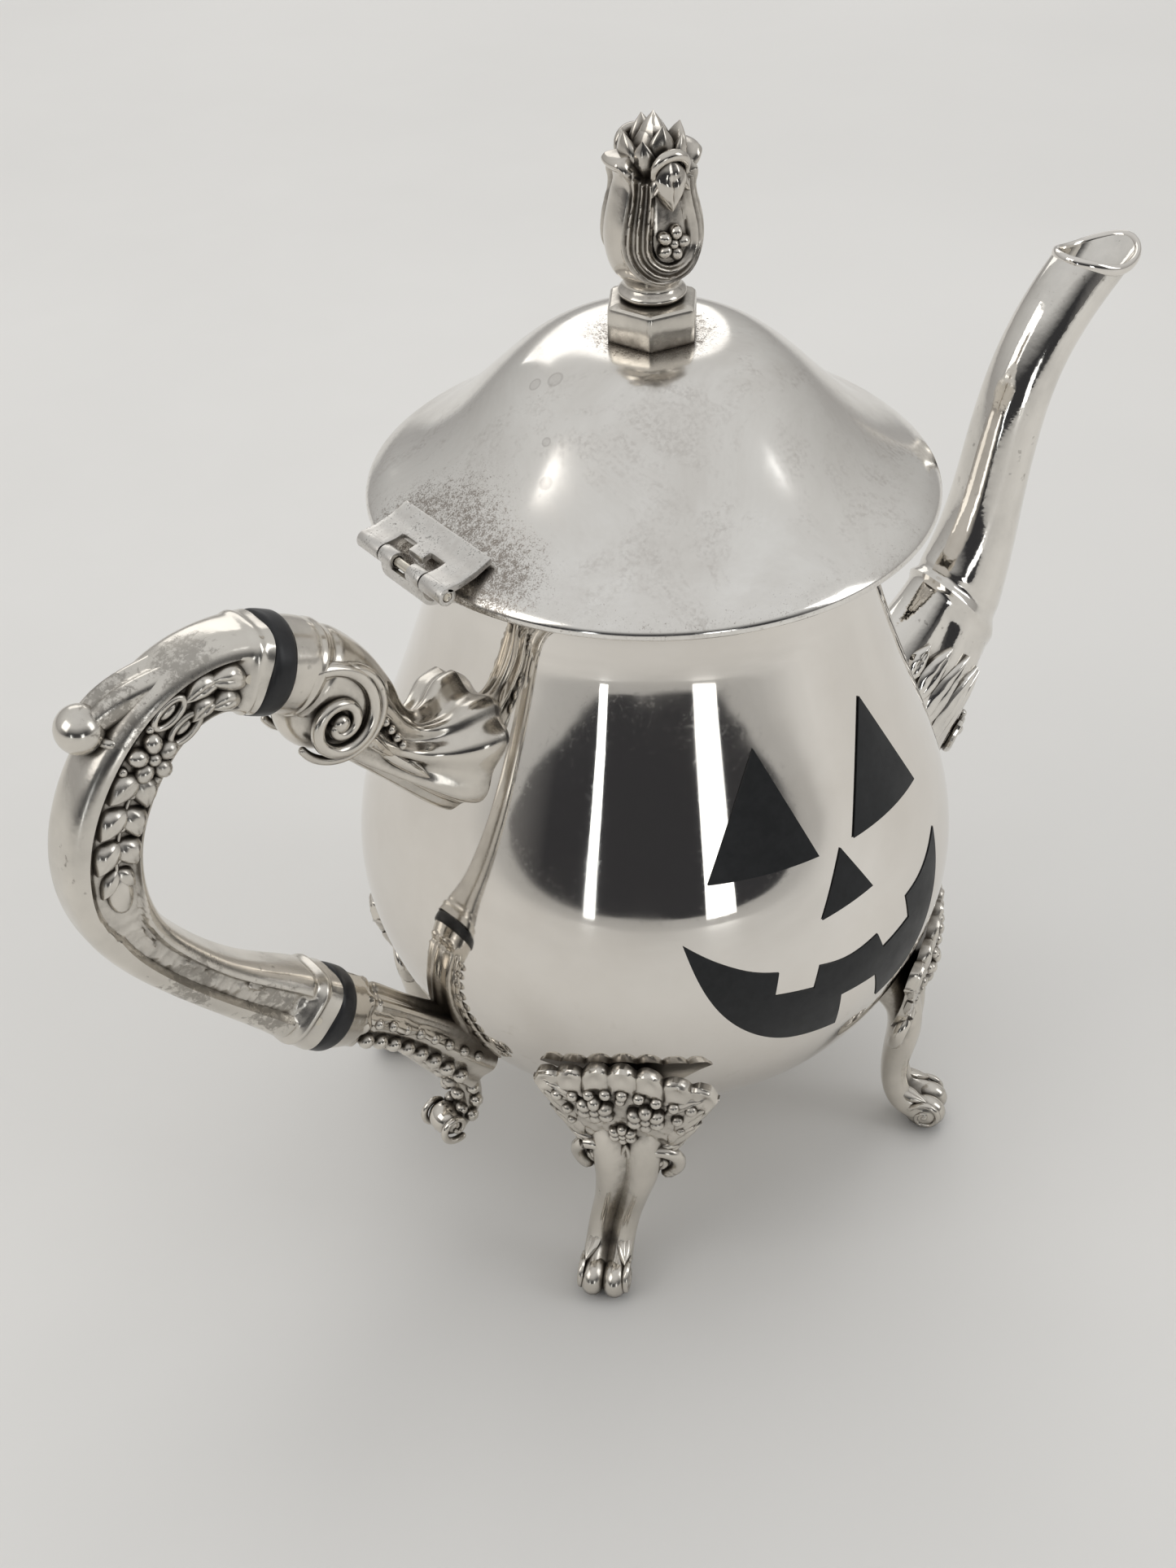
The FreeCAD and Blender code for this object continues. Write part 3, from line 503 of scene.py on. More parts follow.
def build_body():
    n, seg, R, zc = 176, 252, 8.5, 68.0
    prof = Spline(BODY)(np.linspace(0, 1, n))
    t = unit(np.gradient(prof, axis=0))
    nr = np.stack([t[:, 1], -t[:, 0]], -1)
    nr[0] = (0, -1)
    out = np.vstack([[(0, 23.02), (8, 23.02)], prof - 0.045 * nr])
    inn = np.vstack([[(0, 24.2), (8, 24.2)], prof - 1.2 * nr])
    inn[2] = (15.5, 24.2)
    out[-1] = (48.45, 162.9)
    inn[-1] = (47.5, 162.9)
    th = np.linspace(0, TAU, seg, endpoint=False)

    def shell(p):
        return np.stack([np.outer(p[:, 0], np.cos(th)), np.outer(p[:, 0], np.sin(th)), np.repeat(p[:, 1:2], seg, 1)], -1)

    A, B = shell(out), shell(inn)
    rows = len(out)
    hit = (A[..., 0] > 0) & (A[..., 1] ** 2 + (A[..., 2] - zc) ** 2 < R * R)
    keep = np.ones((rows - 1, seg), bool)
    for i in range(rows - 1):
        for j in range(seg):
            keep[i, j] = not (hit[i, j] and hit[i + 1, j] and hit[i, (j + 1) % seg] and hit[i + 1, (j + 1) % seg])
    for G, p in ((A, out), (B, inn)):
        y, z = G[..., 1][hit], G[..., 2][hit] - zc
        d = np.hypot(y, z) + 1e-9
        y, z = y * R / d, z * R / d + zc
        r = np.interp(z, p[:, 1], p[:, 0])
        G[hit] = np.stack([np.sqrt(r * r - y * y), y, z], -1)
    N = rows * seg
    f, count = [], {}
    for i in range(rows - 1):
        for j in range(seg):
            if keep[i, j]:
                q = (i * seg + j, i * seg + (j + 1) % seg, (i + 1) * seg + (j + 1) % seg, (i + 1) * seg + j)
                f.append(q)
                f.append(tuple(N + k for k in reversed(q)))
                for a, b in zip(q, q[1:] + q[:1]):
                    k = (min(a, b), max(a, b))
                    count[k] = count.get(k, 0) + 1
    for (a, b), c in count.items():
        if c == 1 and not (a < seg and b < seg):
            f.append((a, b, N + b, N + a))
    used = sorted({k for q in f for k in q})
    remap = {k: i for i, k in enumerate(used)}
    V = np.vstack([A.reshape(-1, 3), B.reshape(-1, 3)])[used]
    b = Build()
    b.add(V, [tuple(remap[k] for k in q) for q in f])
    return b.finish("pot_body", M_BODY, "pot", ["body_shell"], "polished_silver", angle=50)


build_body()

b = Build()
w = np.linspace(0, TAU, 20, endpoint=False)
b.lathe(np.stack([48.3 + 1.0 * np.cos(w), 163.72 + 0.66 * np.sin(w)], -1), 200, closed=True)
b.finish("pot_mouth_wire", M_BODY, "pot", ["mouth_ring"], "polished_silver")

LID = [(8, 193), (13, 193), (18.7, 191.9), (25.2, 188), (32, 181.8), (38.6, 175.3), (45, 170), (49.3, 167.2), (52.4, 165.2), (54.2, 163.7)]
lid_curve = Spline(LID)(np.linspace(0, 1, 110))
lt = unit(np.gradient(lid_curve, axis=0))
ln = np.stack([-lt[:, 1], lt[:, 0]], -1)
ln *= np.sign(ln[:, 1:2])
lid_under = (lid_curve - 1.0 * ln)[::-1]
lid_under = lid_under[lid_under[:, 0] < 52.9]
roll = Spline([(54.2, 163.7), (55.0, 162.7), (55.12, 161.9), (54.8, 161.25), (54.1, 161.03), (53.45, 161.3), (53.25, 162.2)])(np.linspace(0.04, 1, 26))
ring = np.vstack([[(2.0, 193), (5, 193)], lid_curve, roll, lid_under, [(5, 192), (2.0, 192)]])
b = Build()
b.lathe(ring, 300, closed=True)
b.finish("pot_lid", M_LID, "lid", ["lid_shell"], "polished_silver", angle=55)


def lid_z(r):
    return np.interp(r, lid_curve[:, 0], lid_curve[:, 1])


b = Build()
zt = [float(lid_z(r)) - 1.25 for r in (41.0, 42.0)]
b.lathe([(41.05, zt[0]), (41.05, 158.0), (41.2, 157.65), (41.5, 157.52), (41.8, 157.65), (41.95, 158.0), (41.95, zt[1])], 200, closed=True)
b.finish("lid_locating_ring", M_BODY, "lid", ["lid_bezel"], "polished_silver")

# ------------------------------------------------------------------ spout
SPOUT = [(44, 68.5, 26.5, 13.4, 1, .12), (60, 71.5, 25, 12.8, .98, .2), (76, 79.5, 22.2, 11.6, .92, .39), (86.6, 93.6, 16, 10.2, .83, .56),
         (93, 107.8, 11, 9.2, .55, .835), (96.8, 121.6, 8.7, 8.4, .27, .963), (100.2, 136.2, 8.1, 8, .26, .966), (104.6, 149.4, 8, 7.8, .46, .89),
         (111.4, 160.2, 8.2, 7.7, .58, .81), (118.4, 167.2, 9.2, 7.7, .45, .89), (124.4, 172.2, 10.8, 7.8, .2, .98)]
sp_n = 150
sp_u = np.linspace(0, 1, sp_n)
sp = Spline(SPOUT)(sp_u)
sp_t = unit(sp[:, 4:6])
S_RIB = float(sp_u[np.argmin(np.hypot(sp[:, 0] - 88.2, sp[:, 1] - 97.0))])


def spout_point(i, phi, extra=0.0):
    """Point on the spout's skin at station i and angle phi (0 inner side, pi outer side), and its outward normal."""
    a, h = sp[i, 2], sp[i, 3]
    k, y = a * math.cos(phi), h * math.sin(phi)
    nk, ny = math.cos(phi) / a, math.sin(phi) / h
    l = math.hypot(nk, ny)
    nk, ny = nk / l, ny / l
    k, y = k + nk * extra, y + ny * extra
    tx, tz = sp_t[i]
    return np.array([sp[i, 0] - tz * k, y, sp[i, 1] + tx * k]), np.array([-tz * nk, ny, tx * nk])


def tip_rise(phi):
    return 3.4 * np.exp(-((phi - math.pi) / 0.95) ** 2) - 0.9 * np.exp(-((phi - 1.45) / 0.55) ** 2)


def spout_half(name, node, side):
    m = 40
    ph = np.linspace(0, math.pi, m)
    O = np.zeros((sp_n, m, 3))
    I = np.zeros((sp_n, m, 3))
    for i in range(sp_n):
        u, (x, z, a, h), (tx, tz) = sp_u[i], sp[i, :4], sp_t[i]
        c, s = np.cos(ph), np.sin(ph)
        # a firmer keel on the outer side: flat side panels meeting a narrow outer band
        keel = smooth(u, 0.25, 0.5) * (1 - smooth(u, 0.9, 1.0))
        y = h * np.where(c < 0, s * (1 - 0.16 * keel * np.clip(-c, 0, 1) ** 2), s)
        k = a * c
        rel = -0.15 * np.ones_like(ph)
        # panel ridge that runs up the outer side
        rel += 0.42 * keel * np.exp(-((ph - 2.48) / 0.10) ** 2) - 0.25 * keel * np.exp(-((ph - 2.72) / 0.12) ** 2)
        # moulding across the spout, and lobes of the leaf below it
        rel += 0.75 * np.exp(-((u - S_RIB) / 0.010) ** 2) - 0.35 * np.exp(-((u - S_RIB - 0.022) / 0.009) ** 2)
        below = (1 - smooth(u, S_RIB - 0.045, S_RIB - 0.015)) * smooth(u, 0.12, 0.2)
        rel += below * smooth(ph, 0.5, 0.9) * (0.42 * np.cos(ph * 9 + 7.0 * (u - 0.2)) - 0.42)
        nk, ny = c / a, s / h
        l = np.hypot(nk, ny)
        nk, ny = nk / l, ny / l
        for G, off in ((O, rel), (I, -1.1 + 0 * rel)):
            kk, yy = k + nk * off, np.maximum(y + ny * off, 0.0)
            G[i, :, 0], G[i, :, 1], G[i, :, 2] = x - tz * kk, side * yy, z + tx * kk + tip_rise(ph) * smooth(u, 0.86, 1.0) ** 1.3
    for G in (O, I):
        r = np.hypot(G[..., 0], G[..., 1])
        lim = body_r(G[..., 2]) - 0.6
        kx = np.where(r < lim, lim / r, 1.0)
        G[..., 0] *= kx
        G[..., 1] *= kx
    b = Build()
    b.slab(O, I)
    # leaf over the lower half: long lobes that open from the root, with a scroll under the moulding
    def on(u, phi, e=0.0):
        i = int(round(u * (sp_n - 1)))
        p, nrm = spout_point(i, phi, e)
        return p * [1, side, 1], nrm * [1, side, 1]
    for u0, p0, u1, p1, wd in ((0.21, 2.55, 0.345, 2.75, 6.5), (0.20, 2.20, 0.350, 2.35, 7.0), (0.19, 1.85, 0.345, 1.95, 7.5), (0.19, 1.50, 0.335, 1.55, 7.0),
                               (0.20, 1.18, 0.315, 1.15, 6.0), (0.21, 0.90, 0.285, 0.80, 5.0), (0.24, 2.90, 0.33, 2.98, 4.0)):
        pa, na = on(u0, p0, -0.9)
        pb, nb = on(min(u1, S_RIB - 0.018), p1, 0.1)
        b.leaf(pa, pb, unit(na + nb), wd, 1.25, 1.0, 0.5, bend=0.5 * side, veins=0.10, nu=19, nv=11)
    u = np.linspace(0, 1, 46)
    ang = 0.6 + u * 2.6 * math.pi
    rad = 5.2 * (1 - u) + 0.8
    pts = []
    for w_, r_ in zip(ang, rad):
        pu = 0.268 + r_ * math.cos(w_) / 165.0
        pp = 2.42 + r_ * math.sin(w_) / 21.0
        p, nrm = on(pu, pp, 0.55)
        pts.append(p)
    _, nrm = on(0.268, 2.42)
    b.tube(pts, 1.05 - 0.35 * u, 9)
    p, nrm = on(0.268, 2.42, 0.9)
    b.blob(p, (1.5, 1.5, 1.0), np.array([unit(np.cross(nrm, [0.1, 0.2, 1])), unit(np.cross(nrm, np.cross(nrm, [0.1, 0.2, 1]))), nrm]))
    return b.finish(name, M_SPOUT, "pot", [node], "polished_silver", angle=38)


M_SPOUT = cast_silver("spout_silver", 0.0022, (0.80, 0.77, 0.72), (0.07, 0.055, 0.04), (0.05, 0.12))
spout_half("spout_half_left", "spout_left_half", 1)
spout_half("spout_half_right", "spout_right_half", -1)

# rolled lip round the slanted tip
b = Build()
tip, tipt = sp[-1], sp_t[-1]
nrm3 = np.array([tipt[0], 0, tipt[1]])
ph = np.linspace(0, TAU, 90, endpoint=False)
w = np.linspace(0, TAU, 14, endpoint=False)
P = np.zeros((90, 14, 3))
for i, p_ in enumerate(ph):
    c, s = math.cos(p_), math.sin(p_)
    nk, ny = unit(np.array([c / tip[2], s / tip[3]]))
    for j, q in enumerate(w):
        off = -0.30 + 0.78 * math.cos(q)
        up = -0.35 + 1.25 * math.sin(q)
        k, y = tip[2] * c + nk * off, tip[3] * s + ny * off
        P[i, j] = np.array([tip[0] - tipt[1] * k, y, tip[1] + tipt[0] * k + float(tip_rise(p_ if p_ < math.pi else TAU - p_))]) + nrm3 * up
b.grid(P, wrap_u=True, wrap_v=True)
b.finish("spout_lip_band", M_BODY, "pot", ["spout_lip"], "polished_silver")

# ------------------------------------------------------------------ feet
FAN_P = np.array([(63.4, 67), (63.1, 60), (62, 51.5), (60, 43), (57.8, 35), (56.2, 29)])
FAN_TOP = np.array([(0, 65.3), (5, 64.7), (9.5, 62.6), (14, 61.3), (17.5, 59.2), (19.2, 55.8)])
FAN_BOT = np.array([(0, 30.5), (6, 32.6), (10, 37.4), (12.5, 42.3), (14.5, 47.8), (16.5, 52.2), (19.2, 55.8)])
LEG = [(50, 48, 7, 9), (55.6, 40, 4.8, 8), (57.2, 31.5, 4, 6.8), (56.4, 23, 3.4, 5.7), (55.8, 14.5, 3.1, 5.3), (58.4, 7.4, 3.5, 5.2), (63, 4.6, 4.1, 5.2)]
fan_front = Spline(FAN_P)(np.linspace(0, 1, 80))[::-1]


def fan_rho(z):
    return np.interp(z, fan_front[:, 1], fan_front[:, 0])


def on_fan(t, z, off=0.0):
    z = 65.3 - (69 - z) * 1.0545
    r = fan_rho(z) + off
    return np.array([math.sqrt(r * r - t * t), t, z]), unit(np.array([math.sqrt(r * r - t * t), t, 0.12 * r * (1 if z > 60 else 2.2) * -1]))


def build_foot(name, node, angle, lean=0.0):
    b = Build()
    # pierced-looking fan: shell lobes along the top, a sunk field below them
    nt_, nv_ = 121, 46
    t = np.linspace(-19.0, 19.0, nt_)
    lobe = np.abs(np.cos(math.pi * t / 5.5))
    zt = np.interp(np.abs(t), FAN_TOP[:, 0], FAN_TOP[:, 1]) - 1.5 * (1 - lobe) ** 1.5
    zb = np.interp(np.abs(t), FAN_BOT[:, 0], FAN_BOT[:, 1])
    zt = np.maximum(zt, zb + 0.4)
    v = np.linspace(0, 1, nv_)
    F = np.zeros((nt_, nv_, 3))
    K = np.zeros((nt_, nv_, 3))
    for i in range(nt_):
        z = zb[i] + (zt[i] - zb[i]) * v
        down = zt[i] - z
        rel = -0.9 * np.ones(nv_)
        band = 1 - smooth(down, 5.0, 6.4)
        dish = np.exp(-(((t[i] + 2.75) % 5.5 - 2.75) / 1.25) ** 2) * np.exp(-((down - 2.9) / 1.7) ** 2)
        rel += band * (0.95 * lobe[i] ** 0.6 - 0.75 * dish) + 0.45 * np.exp(-((down - 6.3) / 0.5) ** 2)
        edge = np.minimum(np.minimum(down, z - zb[i] + 0.15), (19.2 - abs(t[i])) * 1.2)
        rel += 0.55 * np.exp(-((np.minimum(z - zb[i], (19.2 - abs(t[i])) * 0.9) - 1.0) / 0.8) ** 2) * (1 - band)
        rel -= 0.9 * (1 - smooth(edge, 0.0, 0.9))
        rel += (1 - band) * 0.16 * np.sin(t[i] * 1.9 + 0.6 * z) * np.sin(z * 1.7 - 0.5 * t[i])
        r = fan_rho(z) + rel
        F[i, :, 0], F[i, :, 1], F[i, :, 2] = np.sqrt(r * r - t[i] ** 2), t[i], z
        r = fan_rho(z) - 2.6
        K[i, :, 0], K[i, :, 1], K[i, :, 2] = np.sqrt(r * r - t[i] ** 2), t[i], z
    b.slab(F, K)
    # two bead daisies, a string of beads under the lobes, loose beads down the middle
    for ct, cz, R in ((-5.6, 56.6, 4.3), (4.6, 55.6, 4.3), (-0.4, 49.0, 3.2)):
        c, n = on_fan(ct, cz, -0.75)
        b.flower(c, n, [0, 0, 1], R, 6, 0.42, 0.32)
    for k in range(9):
        tt = -13.6 + 3.4 * k
        c, n = on_fan(tt, 69 - (65.3 - float(np.interp(abs(tt), FAN_TOP[:, 0], FAN_TOP[:, 1])) + 7.4) / 1.0545, -0.5)
        b.blob(c, (1.35, 1.35, 1.35))
    for tt, zz, r in ((-0.4, 60.2, 1.2), (10.8, 55.0, 1.3), (-11.6, 54.6, 1.3), (-4.6, 45.2, 1.1), (4.2, 44.4, 1.1), (0, 42.0, 1.2), (11.4, 51.2, 1.0), (-11.0, 50.8, 1.0)):
        c, n = on_fan(tt, zz, -0.6)
        b.blob(c, (r, r, r))
    # leaf tips at the sides and the two scrolls beside the leg
    for s in (-1, 1):
        for t0, z0, t1, z1, wd in ((10.5, 50.5, 18.4, 59.4, 4.6), (9.0, 45.5, 15.6, 53.6, 4.4), (6.0, 40.5, 11.8, 46.4, 4.2), (8.5, 56.5, 17.0, 61.6, 3.4)):
            pa, na = on_fan(s * t0, z0, -0.9)
            pb, nb = on_fan(s * t1, z1, -0.9)
            b.leaf(pa, pb, na + nb, wd, 1.0, 0.8, 0.42, bend=-0.7 * s, veins=0.08)
        u = np.linspace(0, 1, 40)
        pts = []
        for q in u:
            rr = 3.7 * (1 - q) ** 0.8 + 0.7
            w_ = -1.1 + q * 7.6
            c, _ = on_fan(s * (6.6 + rr * math.cos(w_)), 40.2 + rr * math.sin(w_) * 1.05, -0.35)
            pts.append(c)
        b.tube(pts, 1.65 - 0.6 * u, 10)
        c, n = on_fan(s * 6.6, 40.2, -0.1)
        b.blob(c, (1.3, 1.3, 1.3))
    c, n = on_fan(0, 45.5, -0.2)
    c2, n2 = on_fan(0, 35.5, 0.6)
    b.leaf(c2, c, n, 5.4, 1.2, 1.5, 0.6, veins=0.1)

    # leg: two ridges with a groove between them, narrowing and then turning out
    def sec(s, ph, a, h):
        uu = a * spow(np.cos(ph), 0.85)
        vv = h * spow(np.sin(ph), 0.85)
        out = np.clip(np.cos(ph), 0, 1)
        uu = uu - out ** 0.4 * (2.1 * np.exp(-(vv / (0.26 * h)) ** 2) - 0.30 * np.exp(-((np.abs(vv) - 0.62 * h) / (0.2 * h)) ** 2)) * smooth(s, 0.03, 0.2)
        return uu, vv
    sweep(b, LEG, sec, seg=48, n=90)
    # toe: a pair of rolled lobes with curls on their cheeks
    for s in (-1, 1):
        n0 = len(b.v)
        b.blob((63.6, s * 2.35, 4.25), (4.75, 3.1, 4.2), None, 14, 20)
        V = b.v[n0]
        V[:, 2] = np.maximum(V[:, 2], 0.0)
        u = np.linspace(0, 1, 36)
        rr = 3.5 * (1 - u) ** 0.9 + 0.5
        w_ = 2.6 - u * 8.4
        b.tube(np.stack([63.6 + rr * np.cos(w_), s * (4.75 + 0.25 * u), 4.5 + rr * np.sin(w_)], -1), 0.72 - 0.2 * u, 8)
        b.blob((63.6, s * 5.1, 4.5), (0.8, 0.6, 0.8))
        b.leaf((57.2, s * 3.0, 11.5), (63.8, s * 4.2, 8.4), (0.45, s * 0.35, 0.85), 3.2, 0.7, 0.8, 0.25)
    for V in b.v:
        V[:, 1] += lean * smooth(V[:, 2], 6.0, 34.0)
    return b.finish(name, M_CAST, "pot", [node], "cast_silver", turn=angle, angle=45)


for nm, nodename, ang in (("foot_a", "foot_rear_spout_side", 43.0), ("foot_b", "foot_rear_handle_side", 129.0), ("foot_c", "foot_front_handle_side", 221.0), ("foot_d", "foot_front_spout_side", 310.0)):
    build_foot(nm, nodename, ang, 4.0 if nodename == "foot_front_handle_side" else 0.0)

# ------------------------------------------------------------------ black rings
UPR, UPD, LOR, LOD = (-89.2, 158.5), unit((0.9, -0.436)), (-86.0, 75.0), unit((0.74, -0.673))


def build_ring(name, node, c, d, R):
    prof = [(0, -2.5), (R - 2.2, -2.5), (R - 0.9, -2.44), (R - 0.3, -2.15), (R - 0.04, -1.6), (R, -0.7), (R, 0.7), (R - 0.04, 1.6), (R - 0.3, 2.15), (R - 0.9, 2.44), (R - 2.2, 2.5), (0, 2.5)]
    b = Build()
    th = np.linspace(0, TAU, 84, endpoint=False)
    ax, e1, e2 = np.array([d[0], 0, d[1]]), np.array([-d[1], 0, d[0]]), np.array([0, 1.0, 0])
    P = np.array([[np.array([c[0], 0, c[1]]) + ax * z + r * (math.cos(t_) * e1 + math.sin(t_) * e2) for t_ in th] for r, z in prof])
    b.grid(P, wrap_v=True)
    return b.finish(name, M_RING, "pot", [node], "black_ring", angle=50)


build_ring("ring_upper", "upper_insulator", UPR, UPD, 9.4)
build_ring("ring_lower", "lower_insulator", LOR, LOD, 8.8)

# ------------------------------------------------------------------ upper socket
UPS = [(-86.95, 157.4, 8.4, 8.2), (-80.4, 153.4, 8.8, 8), (-74.5, 145.6, 9.4, 7.9), (-70.2, 138.4, 8.3, 7), (-66.2, 132.4, 6.8, 6.2), (-61.6, 128, 7.2, 6.6),
       (-56.6, 125.5, 10.4, 9.0), (-51.6, 124.3, 14.4, 12.2), (-45.5, 123.9, 16.0, 13.2)]


def sec_up(s, ph, a, h):
    flute = smooth(s, 0.34, 0.48)
    cap = 1 - smooth(s, 0.07, 0.10)
    rel = flute * (0.80 * np.cos(8 * ph + 2.2 * math.sin(5 * s)) - 0.45)
    rel = rel + cap * 0.25 + 0.35 * np.exp(-((s - 0.105) / 0.012) ** 2) - 0.5 * np.exp(-((s - 0.135) / 0.014) ** 2)
    # the trumpet's upper side is dished
    dish = smooth(s, 0.60, 0.85) * np.clip(np.cos(ph), 0, 1) ** 2
    return a * spow(np.cos(ph), 0.92) * (1 - 0.30 * dish) + rel * np.cos(ph), h * spow(np.sin(ph), 0.92) + rel * np.sin(ph)


b = Build()
sweep(b, UPS, sec_up, seg=90, n=150, d0=UPD)
for s in (-1, 1):
    # scroll on the side: its band comes over from the cap and rolls in round a bright ball
    u = np.linspace(0, 1, 100)
    w_ = math.radians(118) - u * math.radians(640)
    rr = 5.0 * (1 - u) ** 0.85 + 5.6 * np.exp(-u * 7.0) + 1.7
    yy = 6.6 + 1.9 * smooth(u, 0.0, 0.30)
    b.tube(np.stack([-78.6 + rr * np.cos(w_), s * yy, 145.2 + rr * np.sin(w_)], -1), 1.55 - 0.55 * u, 12)
    u = np.linspace(0, 1, 60)
    w_ = math.radians(100) - u * math.radians(250)
    rr = 9.6 - 0.9 * u
    b.tube(np.stack([-78.2 + rr * np.cos(w_), s * (6.4 + 0.9 * np.sin(math.pi * u)), 145.6 + rr * np.sin(w_)], -1), 1.35 - 0.5 * u, 10)
    b.blob((-78.6, s * 8.4, 145.2), (1.9, 1.5, 1.9), None, 10, 16)
    # leaves that wrap from the cap over the top and along the trunk
    for (x0, z0, y0), (x1, z1, y1), wd in (((-84.5, 160.2, 6.6), (-74.5, 154.2, 6.6), 5.0), ((-80.5, 158.6, 3.2), (-70.4, 149.5, 3.8), 5.4), ((-76.0, 151.8, 7.2), (-66.6, 139.0, 6.2), 4.6),
                                           ((-73.2, 141.2, 7.6), (-66.9, 130.6, 6.0), 4.0), ((-68.6, 133.2, 5.6), (-59.8, 122.6, 6.8), 3.4), ((-66.0, 137.6, 3.6), (-58.6, 130.4, 4.8), 3.4)):
        b.leaf((x0, s * (y0 - 0.4), z0), (x1, s * (y1 - 0.2), z1), (0.45, s * 0.8, 0.45), wd, 0.9, 1.2, 0.4, bend=0.6 * s, veins=0.08)
    for k in range(6):
        q = k / 5
        b.blob((-70.8 + 6.0 * q, s * (6.9 - 0.9 * q), 144.6 - 12.0 * q), (0.95, 0.95, 0.95))
b.blob((-78.4, 0, 145.2), (8.6, 7.7, 8.6), None, 20, 34)
b.finish("socket_upper", M_CAST, "pot", ["upper_handle_socket"], "cast_silver", angle=48)

# ------------------------------------------------------------------ lower socket with its beaded tail
LOS = [(-84.15, 73.3, 8.1, 7.9), (-77.4, 68.6, 6.8, 6.5), (-70, 62, 6, 5.6), (-63.6, 55.6, 6.4, 6), (-57.6, 49.2, 7.8, 7.2), (-50.5, 42.1, 9.4, 8.2)]
TAIL = [(-66, 58.6, 3.4, 3.6), (-60.6, 49.6, 4, 4.4), (-55.6, 40.8, 3.6, 4.2), (-53.2, 33, 3.2, 3.8), (-53.4, 27.2, 2.9, 3.4), (-56.4, 24.4, 2.7, 3.2)]


def sec_lo(s, ph, a, h):
    cap = 1 - smooth(s, 0.10, 0.13)
    rel = (1 - cap) * (0.45 * np.cos(8 * ph) - 0.3) + cap * 0.15 + 0.4 * np.exp(-((s - 0.13) / 0.015) ** 2) - 0.45 * np.exp(-((s - 0.17) / 0.016) ** 2)
    return a * np.cos(ph) + rel * np.cos(ph), h * np.sin(ph) + rel * np.sin(ph)


def sec_tail(s, ph, a, h):
    return a * spow(np.cos(ph), 0.9), h * spow(np.sin(ph), 0.9) - 0.5 * np.sign(np.sin(ph)) * np.exp(-(np.cos(ph) / 0.35) ** 2)


b = Build()
sweep(b, LOS, sec_lo, seg=72, n=110, d0=LOD)
u_, q_, t_, n_, _ = sweep(b, TAIL, sec_tail, seg=40, n=70)
b.blob((-58.6, 0, 25.6), (3.5, 4.2, 3.5), None, 12, 18)
lo = Spline(LOS)
for s in (-1, 1):
    for k in range(8):
        q = lo(0.20 + 0.096 * k)[0]
        tt = unit(lo(min(1, 0.21 + 0.096 * k))[0, :2] - lo(0.19 + 0.096 * k)[0, :2])
        nn = np.array([-tt[1], tt[0]])
        for off, r in ((-0.55, 1.75), (0.12, 1.2)):
            v_ = q[3] * math.sqrt(1 - off * off)
            b.blob((q[0] + nn[0] * off * q[2], s * (v_ - 0.15), q[1] + nn[1] * off * q[2]), (r, r, r))
    for k in range(8):
        q = Spline(TAIL)(0.14 + 0.112 * k)[0]
        b.blob((q[0], s * (q[3] - 0.1), q[1]), (1.6, 1.6, 1.6))
    for k in range(6):
        q = Spline(TAIL)(0.20 + 0.13 * k)[0]
        b.blob((q[0] - q[2] * 0.92, s * 2.0, q[1] - 0.2 * q[2]), (1.55, 1.55, 1.55))
    u = np.linspace(0, 1, 40)
    rr = 3.3 * (1 - u) + 0.6
    w_ = -1.2 - u * 7.6
    b.tube(np.stack([-58.6 + rr * np.cos(w_), s * (3.7 + 0.5 * u), 25.6 + rr * np.sin(w_)], -1), 0.85 - 0.3 * u, 9)
    for (x0, z0), (x1, z1), wd in (((-80.4, 74.2), (-70.8, 65.4), 4.6), ((-73.4, 67.6), (-64.6, 58.4), 4.2), ((-66.6, 61.0), (-57.4, 51.8), 4.0)):
        b.leaf((x0, s * 4.9, z0), (x1, s * 4.7, z1), (-0.35 + 0.9, s * 0.75, 0.55), wd, 0.9, 1.4, 0.4, veins=0.08)
b.finish("socket_lower", M_CAST, "pot", ["lower_handle_socket"], "cast_silver", angle=48)

# ------------------------------------------------------------------ handle
HANDLE = [(-91.45, 159.6, 8.4, 8.2), (-96.4, 161.1, 7.6, 7), (-102.4, 161, 7.2, 6.6), (-108.6, 158.6, 7.2, 6.4), (-115.6, 152.8, 7.4, 6.4), (-120.9, 145.2, 7.6, 6.4),
          (-124, 137.4, 7.6, 6.4), (-125, 129.2, 7.4, 6.3), (-123.9, 120.8, 6.8, 6.2), (-120.7, 112.9, 6, 6), (-115.4, 105, 5.6, 5.8), (-108, 96.2, 5.6, 5.8),
          (-101.2, 89.4, 6.2, 6), (-94.6, 83.4, 7.2, 6.8), (-87.85, 76.7, 8.2, 8)]
hs = Spline(HANDLE)


